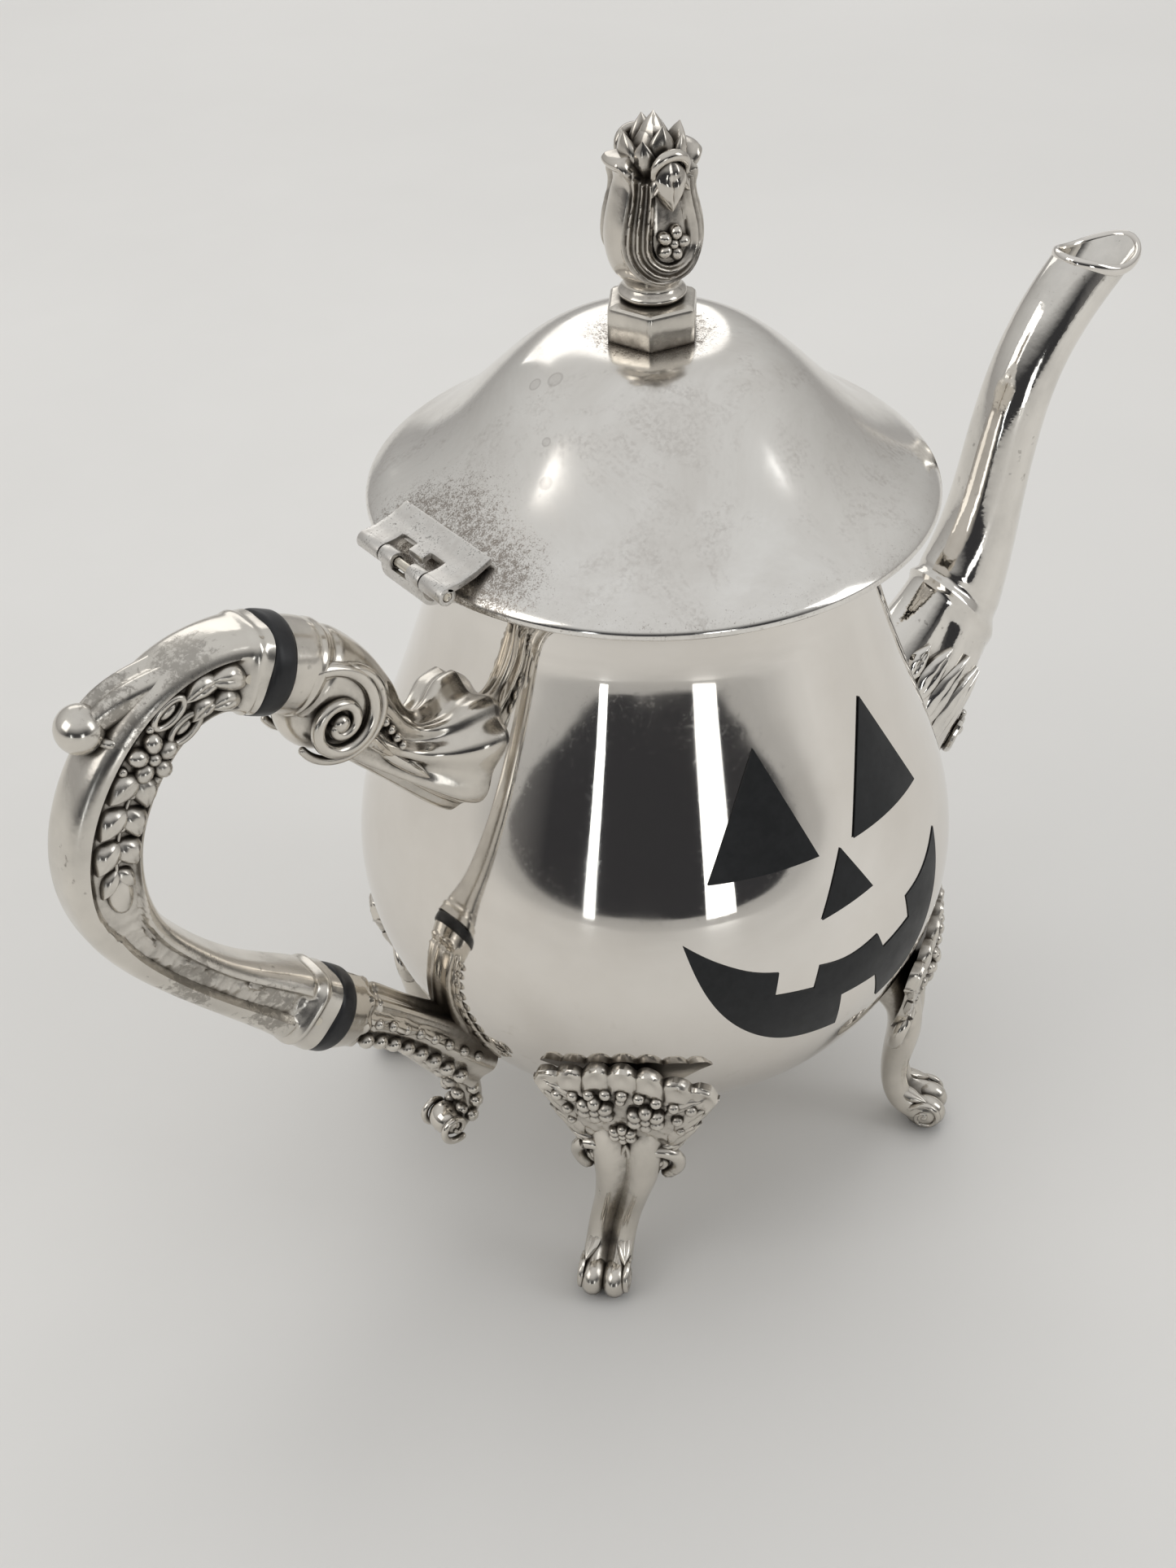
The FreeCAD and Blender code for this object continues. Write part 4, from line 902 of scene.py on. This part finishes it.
def sec_handle(s, ph, a, h):
    c, sn = np.cos(ph), np.sin(ph)
    uu = a * spow(c, 0.62) * 0.998
    vv = h * spow(sn, 0.62)
    # plain caps at both ends, a sunk channel between two rims along each side
    chan = smooth(s, 0.022, 0.045) * (1 - smooth(s, 0.93, 0.955))
    low = smooth(s, 0.47, 0.56)
    inside = smooth(uu, (-0.56 + 0.20 * low) * a, (-0.40 + 0.22 * low) * a) * (1 - smooth(uu, (0.66 - 0.28 * low) * a, (0.80 - 0.22 * low) * a))
    ham = low * (0.08 * np.sin(s * 173 + uu * 0.5 + 1.3 * math.sin(s * 61)) * np.sin(uu * 1.1 + s * 71) + 0.10 * np.sin(s * 397 - uu * 0.8 + 2.0 * math.sin(s * 113)))
    ham = ham + low * (0.55 - 0.55 * np.exp(-((uu - 0.8 - 1.1 * math.sin(s * 47)) / 0.45) ** 2))
    vv = vv - np.sign(sn) * chan * inside * (1.35 + ham)
    ring = 0.5 * np.exp(-((s - 0.962) / 0.006) ** 2) + 0.35 * np.exp(-((s - 0.018) / 0.005) ** 2) - 0.35 * np.exp(-((s - 0.946) / 0.006) ** 2)
    return uu + ring * c, vv + ring * sn


b = Build()
dense = np.unique(np.r_[np.linspace(0, 0.06, 24), np.linspace(0.06, 0.93, 190), np.linspace(0.93, 1, 34)])
sweep(b, HANDLE, sec_handle, seg=96, d0=-UPD, d1=LOD, dense=dense)


def on_handle(s, off, side, lift=0.0):
    """Point in the side channel: path fraction s, offset towards the outer edge."""
    q = hs(s)[0]
    t = unit(hs(min(1, s + 0.004))[0, :2] - hs(max(0, s - 0.004))[0, :2])
    o = np.array([t[1], -t[0]])
    return np.array([q[0] + o[0] * off, side * (q[3] - 1.35 + lift), q[1] + o[1] * off]), np.array([t[0], 0, t[1]]), np.array([o[0], 0, o[1]])


for sd in (-1, 1):
    N3 = np.array([0, sd, 0.0])
    for s0, s1, o0, o1, wd in ((0.026, 0.090, -0.4, 2.0, 5.4), (0.034, 0.100, -3.6, -3.2, 5.0), (0.066, 0.128, 1.2, 0.9, 4.8), (0.078, 0.136, -2.2, -3.4, 4.6)):
        pa, _, _ = on_handle(s0, o0, sd)
        pb, _, _ = on_handle(s1, o1, sd)
        b.leaf(pa, pb, N3, wd, 2.1, 0.6, 0.45, bend=0.8, veins=0.06, nu=21, nv=13)
    # a pair of oval loops
    for off in (1.5, -3.3):
        c, t3, o3 = on_handle(0.150, off, sd, 0.45)
        w_ = np.linspace(0, TAU, 31)
        b.tube([c + t3 * 3.4 * math.cos(k) + o3 * 1.75 * math.sin(k) for k in w_], 0.72, 8, side=N3)
        b.blob(c - N3 * 0.3, (1.9, 0.55, 0.9), np.array([t3, N3, o3]))
    # five-petal flower
    c, t3, o3 = on_handle(0.216, -1.5, sd, 0.25)
    b.flower(c, N3, t3, 5.0, 5, 0.36, 0.28)
    for ds, off in ((-0.034, 2.2), (-0.032, -4.4), (0.034, 2.4), (0.032, -4.6)):
        p, _, _ = on_handle(0.216 + ds, off, sd, 0.3)
        b.blob(p, (0.95, 0.8, 0.95))
    # pairs of leaves on a stem, down to an oval bud
    stem = [on_handle(k, -1.2, sd, 0.1)[0] for k in np.linspace(0.245, 0.45, 40)]
    b.tube(stem, 0.42, 8, side=N3)
    for s0 in (0.250, 0.305, 0.360):
        for off in (2.6, -4.8):
            pa, _, _ = on_handle(s0, -1.2, sd)
            pb, _, _ = on_handle(s0 + 0.050, off, sd)
            b.leaf(pa, pb, N3, 5.6, 2.2, 0.6, 0.32, bend=0.5 if off > 0 else -0.5, veins=0.03, nu=19, nv=13)
        p, _, _ = on_handle(s0 + 0.030, -1.2, sd, 0.35)
        b.blob(p, (1.0, 0.8, 1.0))
    for off in (2.2, -4.2):
        pa, _, _ = on_handle(0.412, -1.2, sd)
        pb, _, _ = on_handle(0.452, off, sd)
        b.leaf(pa, pb, N3, 3.8, 1.6, 0.6, 0.25)
    c, t3, o3 = on_handle(0.455, -1.2, sd, 0.1)
    b.blob(c, (4.6, 1.6, 2.5), np.array([t3, N3, o3]), 10, 18)
# thumb strap along the top, ending in a ball with a curl under it
THUMB = [(-95.2, 163.6, 4.2, 5.4), (-101, 164.2, 4.0, 5.0), (-106, 163.6, 3.7, 4.6), (-112.5, 163.2, 3.4, 4.1), (-118.5, 162, 2.9, 3.6), (-122.2, 160.4, 2.4, 3)]


def sec_thumb(s, ph, a, h):
    g = np.clip(-np.cos(ph), 0, 1)
    uu = a * spow(np.cos(ph), 0.75) + g * 0.8 * np.exp(-(np.sin(ph) / 0.25) ** 2) * smooth(s, 0.15, 0.35)
    return uu, h * spow(np.sin(ph), 0.75)


sweep(b, THUMB, sec_thumb, seg=40, n=60)
b.blob((-123.2, 0, 159.9), (4.4, 4.4, 4.4), None, 22, 32)
b.tube([(-119.6 - 1.6 * math.sin(k), 4.0 * math.cos(k), 157.4 + 0.5 * math.sin(k)) for k in np.linspace(0.0, math.pi, 21)], 1.0, 9)
b.finish("handle_casting", M_HANDLE, "pot", ["handle_grip"], "cast_silver", angle=48)

# ------------------------------------------------------------------ finial
b = Build()
b.lathe([(1.6, 193.0), (5.7, 193.0), (6.15, 193.25), (6.38, 193.8), (6.25, 194.4), (5.9, 194.8), (5.6, 195.0), (5.5, 195.2), (1.6, 195.2)], 96, closed=True)
b.finish("finial_foot_ring", M_CAST, "lid", ["finial_base_ring"], "cast_silver", angle=40)

b = Build()
six = [math.radians(-12 + 60 * k) for k in range(6)]
seg = 144
th = np.linspace(0, TAU, seg, endpoint=False)


def hexr(t, R, soft):
    d = (np.degrees(t) + 12 + 30) % 60 - 30
    flat = R * math.cos(math.pi / 6) / np.cos(np.radians(30 - np.abs(d)))
    return np.minimum(flat, R * soft)


rows = []
for z, R, soft in ((193.06, 9.0, 0.985), (193.3, 9.15, 0.985), (193.6, 9.2, 0.985), (196.4, 9.2, 0.985), (199.0, 9.15, 0.985), (199.5, 8.95, 0.985), (199.9, 8.5, 0.985), (200.2, 7.6, 0.985), (200.4, 6.4, 1.0)):
    r = hexr(th, R, soft)
    rows.append(np.stack([r * np.cos(th), r * np.sin(th), np.full(seg, z)], -1))
inner = [np.stack([r * np.cos(th), r * np.sin(th), np.full(seg, z)], -1) for r, z in ((1.6, 200.4), (1.6, 195.21), (6.5, 195.21), (6.5, 193.06))]
b.grid(np.array(rows + inner), wrap_u=True, wrap_v=True)
b.finish("finial_six_sided_collar", M_CAST, "lid", ["finial_collar"], "cast_silver", angle=24)

BUD = [(5.6, 200.4), (6.3, 201.5), (5.3, 202.9), (5.6, 204.2), (7, 206), (8.2, 209), (8.7, 212.8), (8.1, 217.6), (7.2, 222.8), (7.4, 226.6), (7.3, 229), (5.8, 231), (3.8, 232.8), (1.8, 234.2), (0.0, 234.6)]
b = Build()
FACE0 = math.radians(-101)
seg = 320
th = np.linspace(0, TAU, seg, endpoint=False)
psi = (th - FACE0 + math.pi / 2) % math.pi - math.pi / 2
pa_ = np.abs(psi)
bud_z = np.unique(np.r_[np.linspace(200.4, 204.5, 30), np.linspace(204.5, 222, 120), np.linspace(222, 229.5, 80), np.linspace(229.5, 233.6, 20)])
bq = Spline(BUD)(np.linspace(0, 1, 500))
bud_rr = np.interp(bud_z, bq[:, 1], bq[:, 0])
shoulder = smooth(pa_, math.radians(42), math.radians(74))
z_top = 224.2 + 4.1 * shoulder
P = np.zeros((len(bud_z), seg, 3))
for i, z in enumerate(bud_z):
    r0 = bud_rr[i]
    blend = smooth(z, 203.6, 206.4)
    # two broad faces, each with nested ridges that run down and round a sunk field; plain round panels between
    arc = pa_ * 8.0
    half = 8.7 - 0.5 * smooth(z, 214, 224)
    zb = 213.0
    d = half - (np.hypot(arc, zb - z) if z < zb else arc)
    on = smooth(d, -0.15, 0.15)
    ridge = 1.05 * (0.5 + 0.5 * np.cos(TAU * (d - 0.80) / 1.62)) ** 1.7 * (1 - smooth(d, 4.75, 4.95))
    field = -0.85 * smooth(d, 4.7, 5.1) - 0.35 * smooth(d, 5.0, 8.0)
    groove = -0.35 * np.exp(-((d + 0.12) / 0.28) ** 2)
    rel = blend * (on * (ridge - 0.42 + field) + groove)
    rel = rel + blend * 0.28 * (1 - on) * np.cos(np.clip((math.pi / 2 - pa_) / 0.47, -1, 1) * math.pi / 2)
    # the panels' tops roll outwards
    rel = rel + shoulder * (1.45 * np.exp(-((z - z_top + 1.5) / 1.25) ** 2) - 0.35 * np.exp(-((z - z_top + 5.0) / 1.6) ** 2))
    core = np.interp(z, [200, 224, 227.5, 231, 233.6], [4.6, 4.6, 4.2, 2.2, 0.25])
    wall = 1 - smooth(z - z_top, -0.45, 0.5)
    r = np.maximum(core + (r0 + rel - core) * wall, 0.12)
    P[i] = np.stack([r * np.cos(th), r * np.sin(th), np.full(seg, z)], -1)
inner = np.stack([1.6 * np.cos(th), 1.6 * np.sin(th), np.full(seg, 200.4)], -1)
inner2 = np.stack([1.6 * np.cos(th), 1.6 * np.sin(th), np.full(seg, 213.0)], -1)
b.grid(np.concatenate([inner2[None], inner[None], P]), wrap_v=True, cap0=True, cap1=True)


def bud_r(z):
    return float(np.interp(z, bq[:, 1], bq[:, 0]))


def petal(b, base, top, nrm, w, thick, nu=17, nv=12):
    """Round-ended upright petal: a fat closed lens with a soft ridge up its middle."""
    base, top = np.asarray(base, float), np.asarray(top, float)
    ax = unit(top - base)
    nrm = unit(np.asarray(nrm, float) - ax * (np.asarray(nrm, float) @ ax))
    sd = np.cross(ax, nrm)
    q = np.linspace(0, 1, nu)
    v_ = np.linspace(0, TAU, nv * 2, endpoint=False)
    G = np.zeros((nu, nv * 2, 3))
    for i, k in enumerate(q):
        fat = (0.55 + 0.45 * smooth(k, 0, 0.45)) * max(0.03, 1 - max(0.0, (k - 0.42) / 0.58) ** 1.9)
        c = base + (top - base) * k
        lens = np.sin(v_) * (1 + 0.22 * np.exp(-(np.cos(v_) / 0.28) ** 2) * (np.sin(v_) > 0))
        G[i] = c + np.outer(np.cos(v_) * w * fat, sd) + np.outer(lens * thick * fat, nrm)
    b.grid(G, wrap_v=True, cap0=True, cap1=True)


Z3 = np.array([0, 0, 1.0])
for k in range(2):
    az = FACE0 + k * math.pi
    N3 = np.array([math.cos(az), math.sin(az), 0])
    T3 = np.array([-math.sin(az), math.cos(az), 0])
    b.flower(N3 * (bud_r(213.2) - 1.35) + Z3 * 213.2, N3, Z3 + 0.3 * T3, 3.4, 5, 0.42, 0.30)
    for sgn in (-1, 1):
        b.leaf(N3 * (bud_r(208) - 1.5) + T3 * 0.5 * sgn + Z3 * 209.2, N3 * (bud_r(206.6) - 0.9) + T3 * 2.1 * sgn + Z3 * 206.6, N3, 1.5, 0.55, 0.4, 0.15)
    # a leaf curls over the head of each face and hangs to a point, under a hood
    b.leaf(N3 * 6.3 + Z3 * 228.2, N3 * (bud_r(219.4) - 0.55) + Z3 * 218.9, N3 + 0.25 * Z3, 6.6, 1.9, 1.6, 0.55, veins=0.10, nu=23, nv=15)
    for sgn in (-1, 1):
        b.leaf(N3 * 6.5 + T3 * 0.9 * sgn + Z3 * 226.2, N3 * 6.5 + T3 * 3.9 * sgn + Z3 * 221.6, N3 + 0.4 * sgn * T3, 2.6, 1.0, 1.2, 0.3)
    w_ = np.linspace(-0.25, math.pi + 0.25, 33)
    b.tube([N3 * (6.7 + 0.7 * math.sin(k_)) + T3 * 3.3 * math.cos(k_) + Z3 * (226.0 + 3.0 * math.sin(k_)) for k_ in w_], 0.55 + 0.55 * np.clip(np.sin(w_), 0, 1), 10)
    # petals standing inside: one behind each rolled panel, one behind each hood, and the round bud in the middle
    ac = az + math.pi / 2
    C3 = np.array([math.cos(ac), math.sin(ac), 0])
    petal(b, C3 * 4.0 + Z3 * 224.0, C3 * 5.6 + Z3 * 231.8, C3, 3.1, 1.5)
    petal(b, N3 * 2.9 + Z3 * 224.0, N3 * 3.9 + Z3 * 233.0, N3, 2.8, 1.5)
    for sgn in (-1, 1):
        D3 = unit(N3 + sgn * 1.0 * C3)
        petal(b, D3 * 4.0 + Z3 * 223.6, D3 * 5.5 + Z3 * 231.0, D3, 2.3, 1.3)
petal(b, (0, 0, 226.0), (0.2, -0.2, 234.58), (-0.63, -0.77, 0), 2.5, 2.3, nu=25)
b.finish("finial_tulip", M_FINIAL, "lid", ["finial_bud"], "cast_silver", angle=50)
for nm, mt in (("finial_stud", M_HW), ("finial_washer", M_HW), ("finial_nut", M_HW), ("upper_insulator_pins", M_HW), ("lower_insulator_pins", M_HW),
               ("face_left_eye", M_VINYL), ("face_right_eye", M_VINYL), ("face_nose", M_VINYL)):
    me = nodes[nm].data
    me.materials.clear()
    me.materials.append(mt)

# ------------------------------------------------------------------ mouth sticker, with smooth curved edges between its teeth
MOUTH = [(-33.2, 95.6), (-28.4, 92.3), (-23.8, 89.6), (-20.0, 87.8), (-15.7, 86.5), (-16.5, 81.2), (-8.6, 79.9),
         (-7.4, 84.9), (-1.5, 83.9), (6.4, 85.0), (8.0, 80.6), (16.0, 82.6), (15.4, 88.2), (20.5, 89.3),
         (25.0, 91.3), (30.0, 94.6), (28.6, 87.6), (26.0, 80.0), (22.6, 73.6), (17.0, 68.4), (9.0, 65.9),
         (6.6, 74.2), (-2.2, 74.5), (-1.8, 65.2), (-7.0, 66.0), (-14.0, 68.0), (-20.0, 71.9), (-26.0, 78.7), (-30.4, 87.4)]
corners = [0, 4, 5, 6, 7, 9, 10, 11, 12, 15, 20, 21, 22, 23, 29]
edge = []
for c0, c1 in zip(corners, corners[1:]):
    run = [MOUTH[k % 29] for k in range(c0, c1 + 1)]
    q = Spline(run)(np.linspace(0, 1, 6 * (len(run) - 1) + 1)) if len(run) > 2 else np.linspace(run[0], run[1], 7)
    edge += [tuple(k) for k in q[:-1]]
bm = bmesh.new()
bm.faces.new([bm.verts.new((a_, z_, 0)) for a_, z_ in edge])
bmesh.ops.triangulate(bm, faces=bm.faces[:])
for a_ in np.arange(-32, 30, 2.0):
    bmesh.ops.bisect_plane(bm, geom=bm.verts[:] + bm.edges[:] + bm.faces[:], plane_co=(a_, 0, 0), plane_no=(1, 0, 0), dist=1e-5)
for z_ in np.arange(66, 96, 1.5):
    bmesh.ops.bisect_plane(bm, geom=bm.verts[:] + bm.edges[:] + bm.faces[:], plane_co=(0, z_, 0), plane_no=(0, 1, 0), dist=1e-5)
bm.verts.index_update()
flat = np.array([v_.co[:2] for v_ in bm.verts])
tris = [tuple(v_.index for v_ in f_.verts) for f_ in bm.faces]
rim_e = [tuple(v_.index for v_ in e_.verts) for e_ in bm.edges if len(e_.link_faces) == 1]
bm.free()
az = np.radians(flat[:, 0] - 91.0)
sheets = [np.stack([(body_r(flat[:, 1]) + o_) * np.cos(az), (body_r(flat[:, 1]) + o_) * np.sin(az), flat[:, 1]], -1) for o_ in (0.16, 0.0)]
n_ = len(flat)
b = Build()
b.add(np.vstack(sheets), tris + [tuple(n_ + k for k in reversed(f_)) for f_ in tris] + [(a_, b_, n_ + b_, n_ + a_) for a_, b_ in rim_e])
b.finish("sticker_mouth", M_VINYL, "pot", ["face_mouth"], "black_vinyl", angle=50)

# ------------------------------------------------------------------ hinge
HX, HZ = -57.3, 165.2


def plate_top(x):
    q = np.array([(HX, HZ + 1.8), (HX + 1.2, HZ + 1.85), (-54.6, 167.15), (-51, 168.05), (-47.6, 169.5)])
    return np.interp(x, q[:, 0], q[:, 1])


def slab_cells(b, xs, ys, keep, th):
    """Plate on a grid of cells, with its upper side at plate_top; only cells that keep() accepts."""
    idx, V, f = {}, [], []

    def vid(i, j, lo):
        k = (i, j, lo)
        if k not in idx:
            idx[k] = len(V)
            V.append((xs[i], ys[j], float(plate_top(xs[i])) - (th if lo else 0.0)))
        return idx[k]
    ok = {(i, j) for i in range(len(xs) - 1) for j in range(len(ys) - 1) if keep(0.5 * (xs[i] + xs[i + 1]), 0.5 * (ys[j] + ys[j + 1]))}
    for i, j in ok:
        f.append((vid(i, j, 0), vid(i + 1, j, 0), vid(i + 1, j + 1, 0), vid(i, j + 1, 0)))
        f.append((vid(i, j, 1), vid(i, j + 1, 1), vid(i + 1, j + 1, 1), vid(i + 1, j, 1)))
        for (di, dj), (p, q) in (((-1, 0), ((i, j), (i, j + 1))), ((1, 0), ((i + 1, j + 1), (i + 1, j))), ((0, -1), ((i + 1, j), (i, j))), ((0, 1), ((i, j + 1), (i + 1, j + 1)))):
            if (i + di, j + dj) not in ok:
                f.append((vid(*p, 0), vid(*q, 0), vid(*q, 1), vid(*p, 1)))
    b.add(V, f)


def barrel(b, y0, y1, ro, ri, seg=40):
    prof = [(ri, y0 + 0.15), (ri + 0.12, y0), (ro - 0.22, y0), (ro - 0.06, y0 + 0.06), (ro, y0 + 0.22), (ro, y1 - 0.22), (ro - 0.06, y1 - 0.06), (ro - 0.22, y1), (ri + 0.12, y1), (ri, y1 - 0.15)]
    th = np.linspace(0, TAU, seg, endpoint=False)
    P = np.array([[(HX + r * math.cos(t_), y, HZ + r * math.sin(t_)) for t_ in th] for r, y in prof])
    b.grid(P, wrap_u=True, wrap_v=True)


b = Build()
xs = np.unique(np.r_[np.linspace(HX, HX + 2.3, 6), np.linspace(HX + 2.3, HX + 4.3, 5), np.linspace(HX + 4.3, -47.6, 12)])
ys = np.unique(np.r_[np.linspace(-13.2, -6.6, 7), np.linspace(-6.6, -2.1, 5), np.linspace(-2.1, 2.1, 5), np.linspace(2.1, 6.6, 5), np.linspace(6.6, 13.2, 7)])
slab_cells(b, xs, ys, lambda x, y: x > HX + 4.3 or abs(y) > 6.6 or (abs(y) < 2.1 and x > HX + 2.3), 1.3)
for y0, y1 in ((-13.2, -6.6), (6.6, 13.2)):
    barrel(b, y0, y1, 1.8, 0.93)
hl = b.finish("hinge_leaf_lid", M_DULL, "lid", ["hinge_lid_leaf"], "dull_silver", angle=35)
bm = bmesh.new()
bm.from_mesh(hl.data)
sharp = [e for e in bm.edges if len(e.link_faces) == 2 and e.calc_face_angle(0) > math.radians(60)]
bmesh.ops.bevel(bm, geom=sharp, offset=0.00022, segments=2, profile=0.6, affect="EDGES", clamp_overlap=True)
bm.to_mesh(hl.data)
bm.free()
hl.data.shade_smooth()
hl.data.set_sharp_from_angle(angle=math.radians(40))

b = Build()
prof = [(0.0, -12.95), (0.42, -12.95), (0.5, -13.05), (0.62, -13.18), (0.78, -13.18), (0.88, -13.05), (0.9, -12.8), (0.9, 12.8), (0.88, 13.05), (0.78, 13.18), (0.62, 13.18), (0.5, 13.05), (0.42, 12.95), (0.0, 12.95)]
th = np.linspace(0, TAU, 30, endpoint=False)
b.grid(np.array([[(HX + r * math.cos(t_), y, HZ + r * math.sin(t_)) for t_ in th] for r, y in prof]), wrap_v=True)
b.finish("hinge_rivet", M_HW, "lid", ["hinge_pin"], "hardware", angle=50)
b = Build()
for y0, y1 in ((-6.3, -2.4), (2.4, 6.3)):
    barrel(b, y0, y1, 1.8, 0.98)
strap = Spline([(HX - 0.95, HZ - 1.15), (HX - 0.8, 162.4), (HX + 0.5, 160.3), (-54.0, 159.4), (-50, 157.8), (-44.3, 156.5)])(np.linspace(0, 1, 44))
_, sn_ = plane_frame(strap)
ys = np.linspace(-5.9, 5.9, 13)
A, B = (np.array([[(q[0] + k * n_[0], y, q[1] + k * n_[1]) for y in ys] for q, n_ in zip(strap, sn_)]) for k in (0.4, -0.4))
b.slab(A, B)
b.finish("hinge_leaf_body", M_DULL, "pot", ["hinge_body_leaf"], "dull_silver", angle=40)

# ------------------------------------------------------------------ floor, light and camera
m, nt, bs = new_mat("pale_floor")
v = coords(nt)
n1 = noise(nt, v, 3.0, 4, 0.5)
nt.links.new(ramp(nt, n1, [(0.3, (0.73, 0.72, 0.70)), (0.7, (0.78, 0.77, 0.75))]), bs.inputs["Base Color"])
nt.links.new(ramp(nt, noise(nt, v, 40, 3, 0.5), [(0.3, 0.55), (0.7, 0.68)]), bs.inputs["Roughness"])
bpy.ops.mesh.primitive_grid_add(x_subdivisions=8, y_subdivisions=8, size=6.0, location=(0, 0, -0.0001))
floor = bpy.context.object
floor.name = "studio_floor"
floor.data.materials.append(m)

world = bpy.data.worlds.new("studio") if bpy.context.scene.world is None else bpy.context.scene.world
bpy.context.scene.world = world
world.use_nodes = True
wt = world.node_tree
bg = next(n for n in wt.nodes if n.type == "BACKGROUND")
tc = wt.nodes.new("ShaderNodeTexCoord")
sx = wt.nodes.new("ShaderNodeSeparateXYZ")
wt.links.new(tc.outputs["Generated"], sx.inputs[0])
def sky_ramp(src, stops):
    r = wt.nodes.new("ShaderNodeValToRGB")
    e = r.color_ramp.elements
    while len(e) < len(stops):
        e.new(0.5)
    for e_, (p_, c_) in zip(e, stops):
        e_.position = p_
        e_.color = (*c_, 1) if isinstance(c_, tuple) else (c_, c_, c_, 1)
    wt.links.new(src, r.inputs["Fac"])
    return r.outputs["Color"]


walls = sky_ramp(sx.outputs["Z"], [(0.0, (0.50, 0.49, 0.48)), (0.25, (0.64, 0.635, 0.625)), (0.6, (0.82, 0.82, 0.815)), (1.0, (0.90, 0.905, 0.91))])
dt = wt.nodes.new("ShaderNodeVectorMath")
dt.operation = "DOT_PRODUCT"
wt.links.new(tc.outputs["Generated"], dt.inputs[0])
dt.inputs[1].default_value = (-0.600, -0.800, 0.0)
front = sky_ramp(dt.outputs["Value"], [(0.10, 0.0), (0.72, 1.0)])
lowz = sky_ramp(sx.outputs["Z"], [(0.25, 1.0), (0.66, 0.0)])
ml = wt.nodes.new("ShaderNodeMath")
ml.operation = "MULTIPLY"
wt.links.new(front, ml.inputs[0])
wt.links.new(lowz, ml.inputs[1])
mx = wt.nodes.new("ShaderNodeMix")
mx.data_type = "RGBA"
wt.links.new(ml.outputs[0], mx.inputs[0])
wt.links.new(walls, mx.inputs[6])
mx.inputs[7].default_value = (0.050, 0.050, 0.054, 1)
wt.links.new(mx.outputs[2], bg.inputs["Color"])
bg.inputs["Strength"].default_value = 0.78


def area(name, az, el_, dist, w, h, power, color=(1, 1, 1), aim=(0, 0, 0.10)):
    d = bpy.data.lights.new(name, "AREA")
    d.shape = "RECTANGLE"
    d.size, d.size_y, d.energy, d.color = w, h, power, color
    o = bpy.data.objects.new(name, d)
    a, e = math.radians(az), math.radians(el_)
    p = Vector((math.cos(a) * math.cos(e), math.sin(a) * math.cos(e), math.sin(e))) * dist + Vector(aim)
    o.location = p
    o.visible_camera = False
    o.rotation_euler = (Vector(aim) - p).to_track_quat("-Z", "Y").to_euler()
    bpy.context.scene.collection.objects.link(o)
    return o


top_lamp = area("soft_top", 40, 70, 1.6, 1.3, 1.0, 5.6, (1.0, 0.985, 0.96))
top_lamp.visible_glossy = False
area("soft_left", 172, 34, 1.5, 0.8, 0.8, 3.0, (1.0, 0.98, 0.95))
area("soft_right", -52, 26, 1.6, 0.55, 0.9, 2.8, (0.97, 0.985, 1.0))
area("soft_back", 65, 26, 1.8, 1.3, 0.7, 2.6, (1.0, 0.985, 0.96))
# two tall strip lamps in the dark side of the room
area("strip_a", -152, 4, 1.5, 0.10, 0.34, 0.28, (0.94, 0.98, 1.0))
area("strip_b", -106, 4, 1.5, 0.28, 0.34, 0.62, (0.97, 0.99, 1.0))

F, D, EL, YAW, PITCH, ROLL, PL = 2700.0, 427.4, math.radians(29.71), math.radians(-2.16), math.radians(37.45), math.radians(1.5), math.radians(39.3)
C = Vector((0, -D * math.cos(EL), D * math.sin(EL)))
fw0 = Vector((math.sin(YAW), math.cos(YAW), 0))
right = Vector((math.cos(YAW), -math.sin(YAW), 0))
fw = fw0 * math.cos(PITCH) + Vector((0, 0, -1)) * math.sin(PITCH)
down = fw.cross(right)
r2 = right * math.cos(ROLL) + down * math.sin(ROLL)
d2 = right * -math.sin(ROLL) + down * math.cos(ROLL)
rot = Matrix.Rotation(-PL, 3, "Z")
C, r2, d2, fw = rot @ C, rot @ r2, rot @ d2, rot @ fw
C = (C + Vector((AX, 0, 161))) / 1000
M = Matrix.Identity(4)
for i in range(3):
    M[i][0], M[i][1], M[i][2], M[i][3] = r2[i], -d2[i], -fw[i], C[i]
cd = bpy.data.cameras.new("photo_camera")
cd.sensor_width, cd.sensor_fit, cd.lens, cd.clip_start = 36.0, "AUTO", F / 1927 * 36.0, 0.01
cam = bpy.data.objects.new("photo_camera", cd)
cam.matrix_world = M
bpy.context.scene.collection.objects.link(cam)
bpy.context.scene.camera = cam
bpy.context.scene.view_settings.view_transform = "Standard"
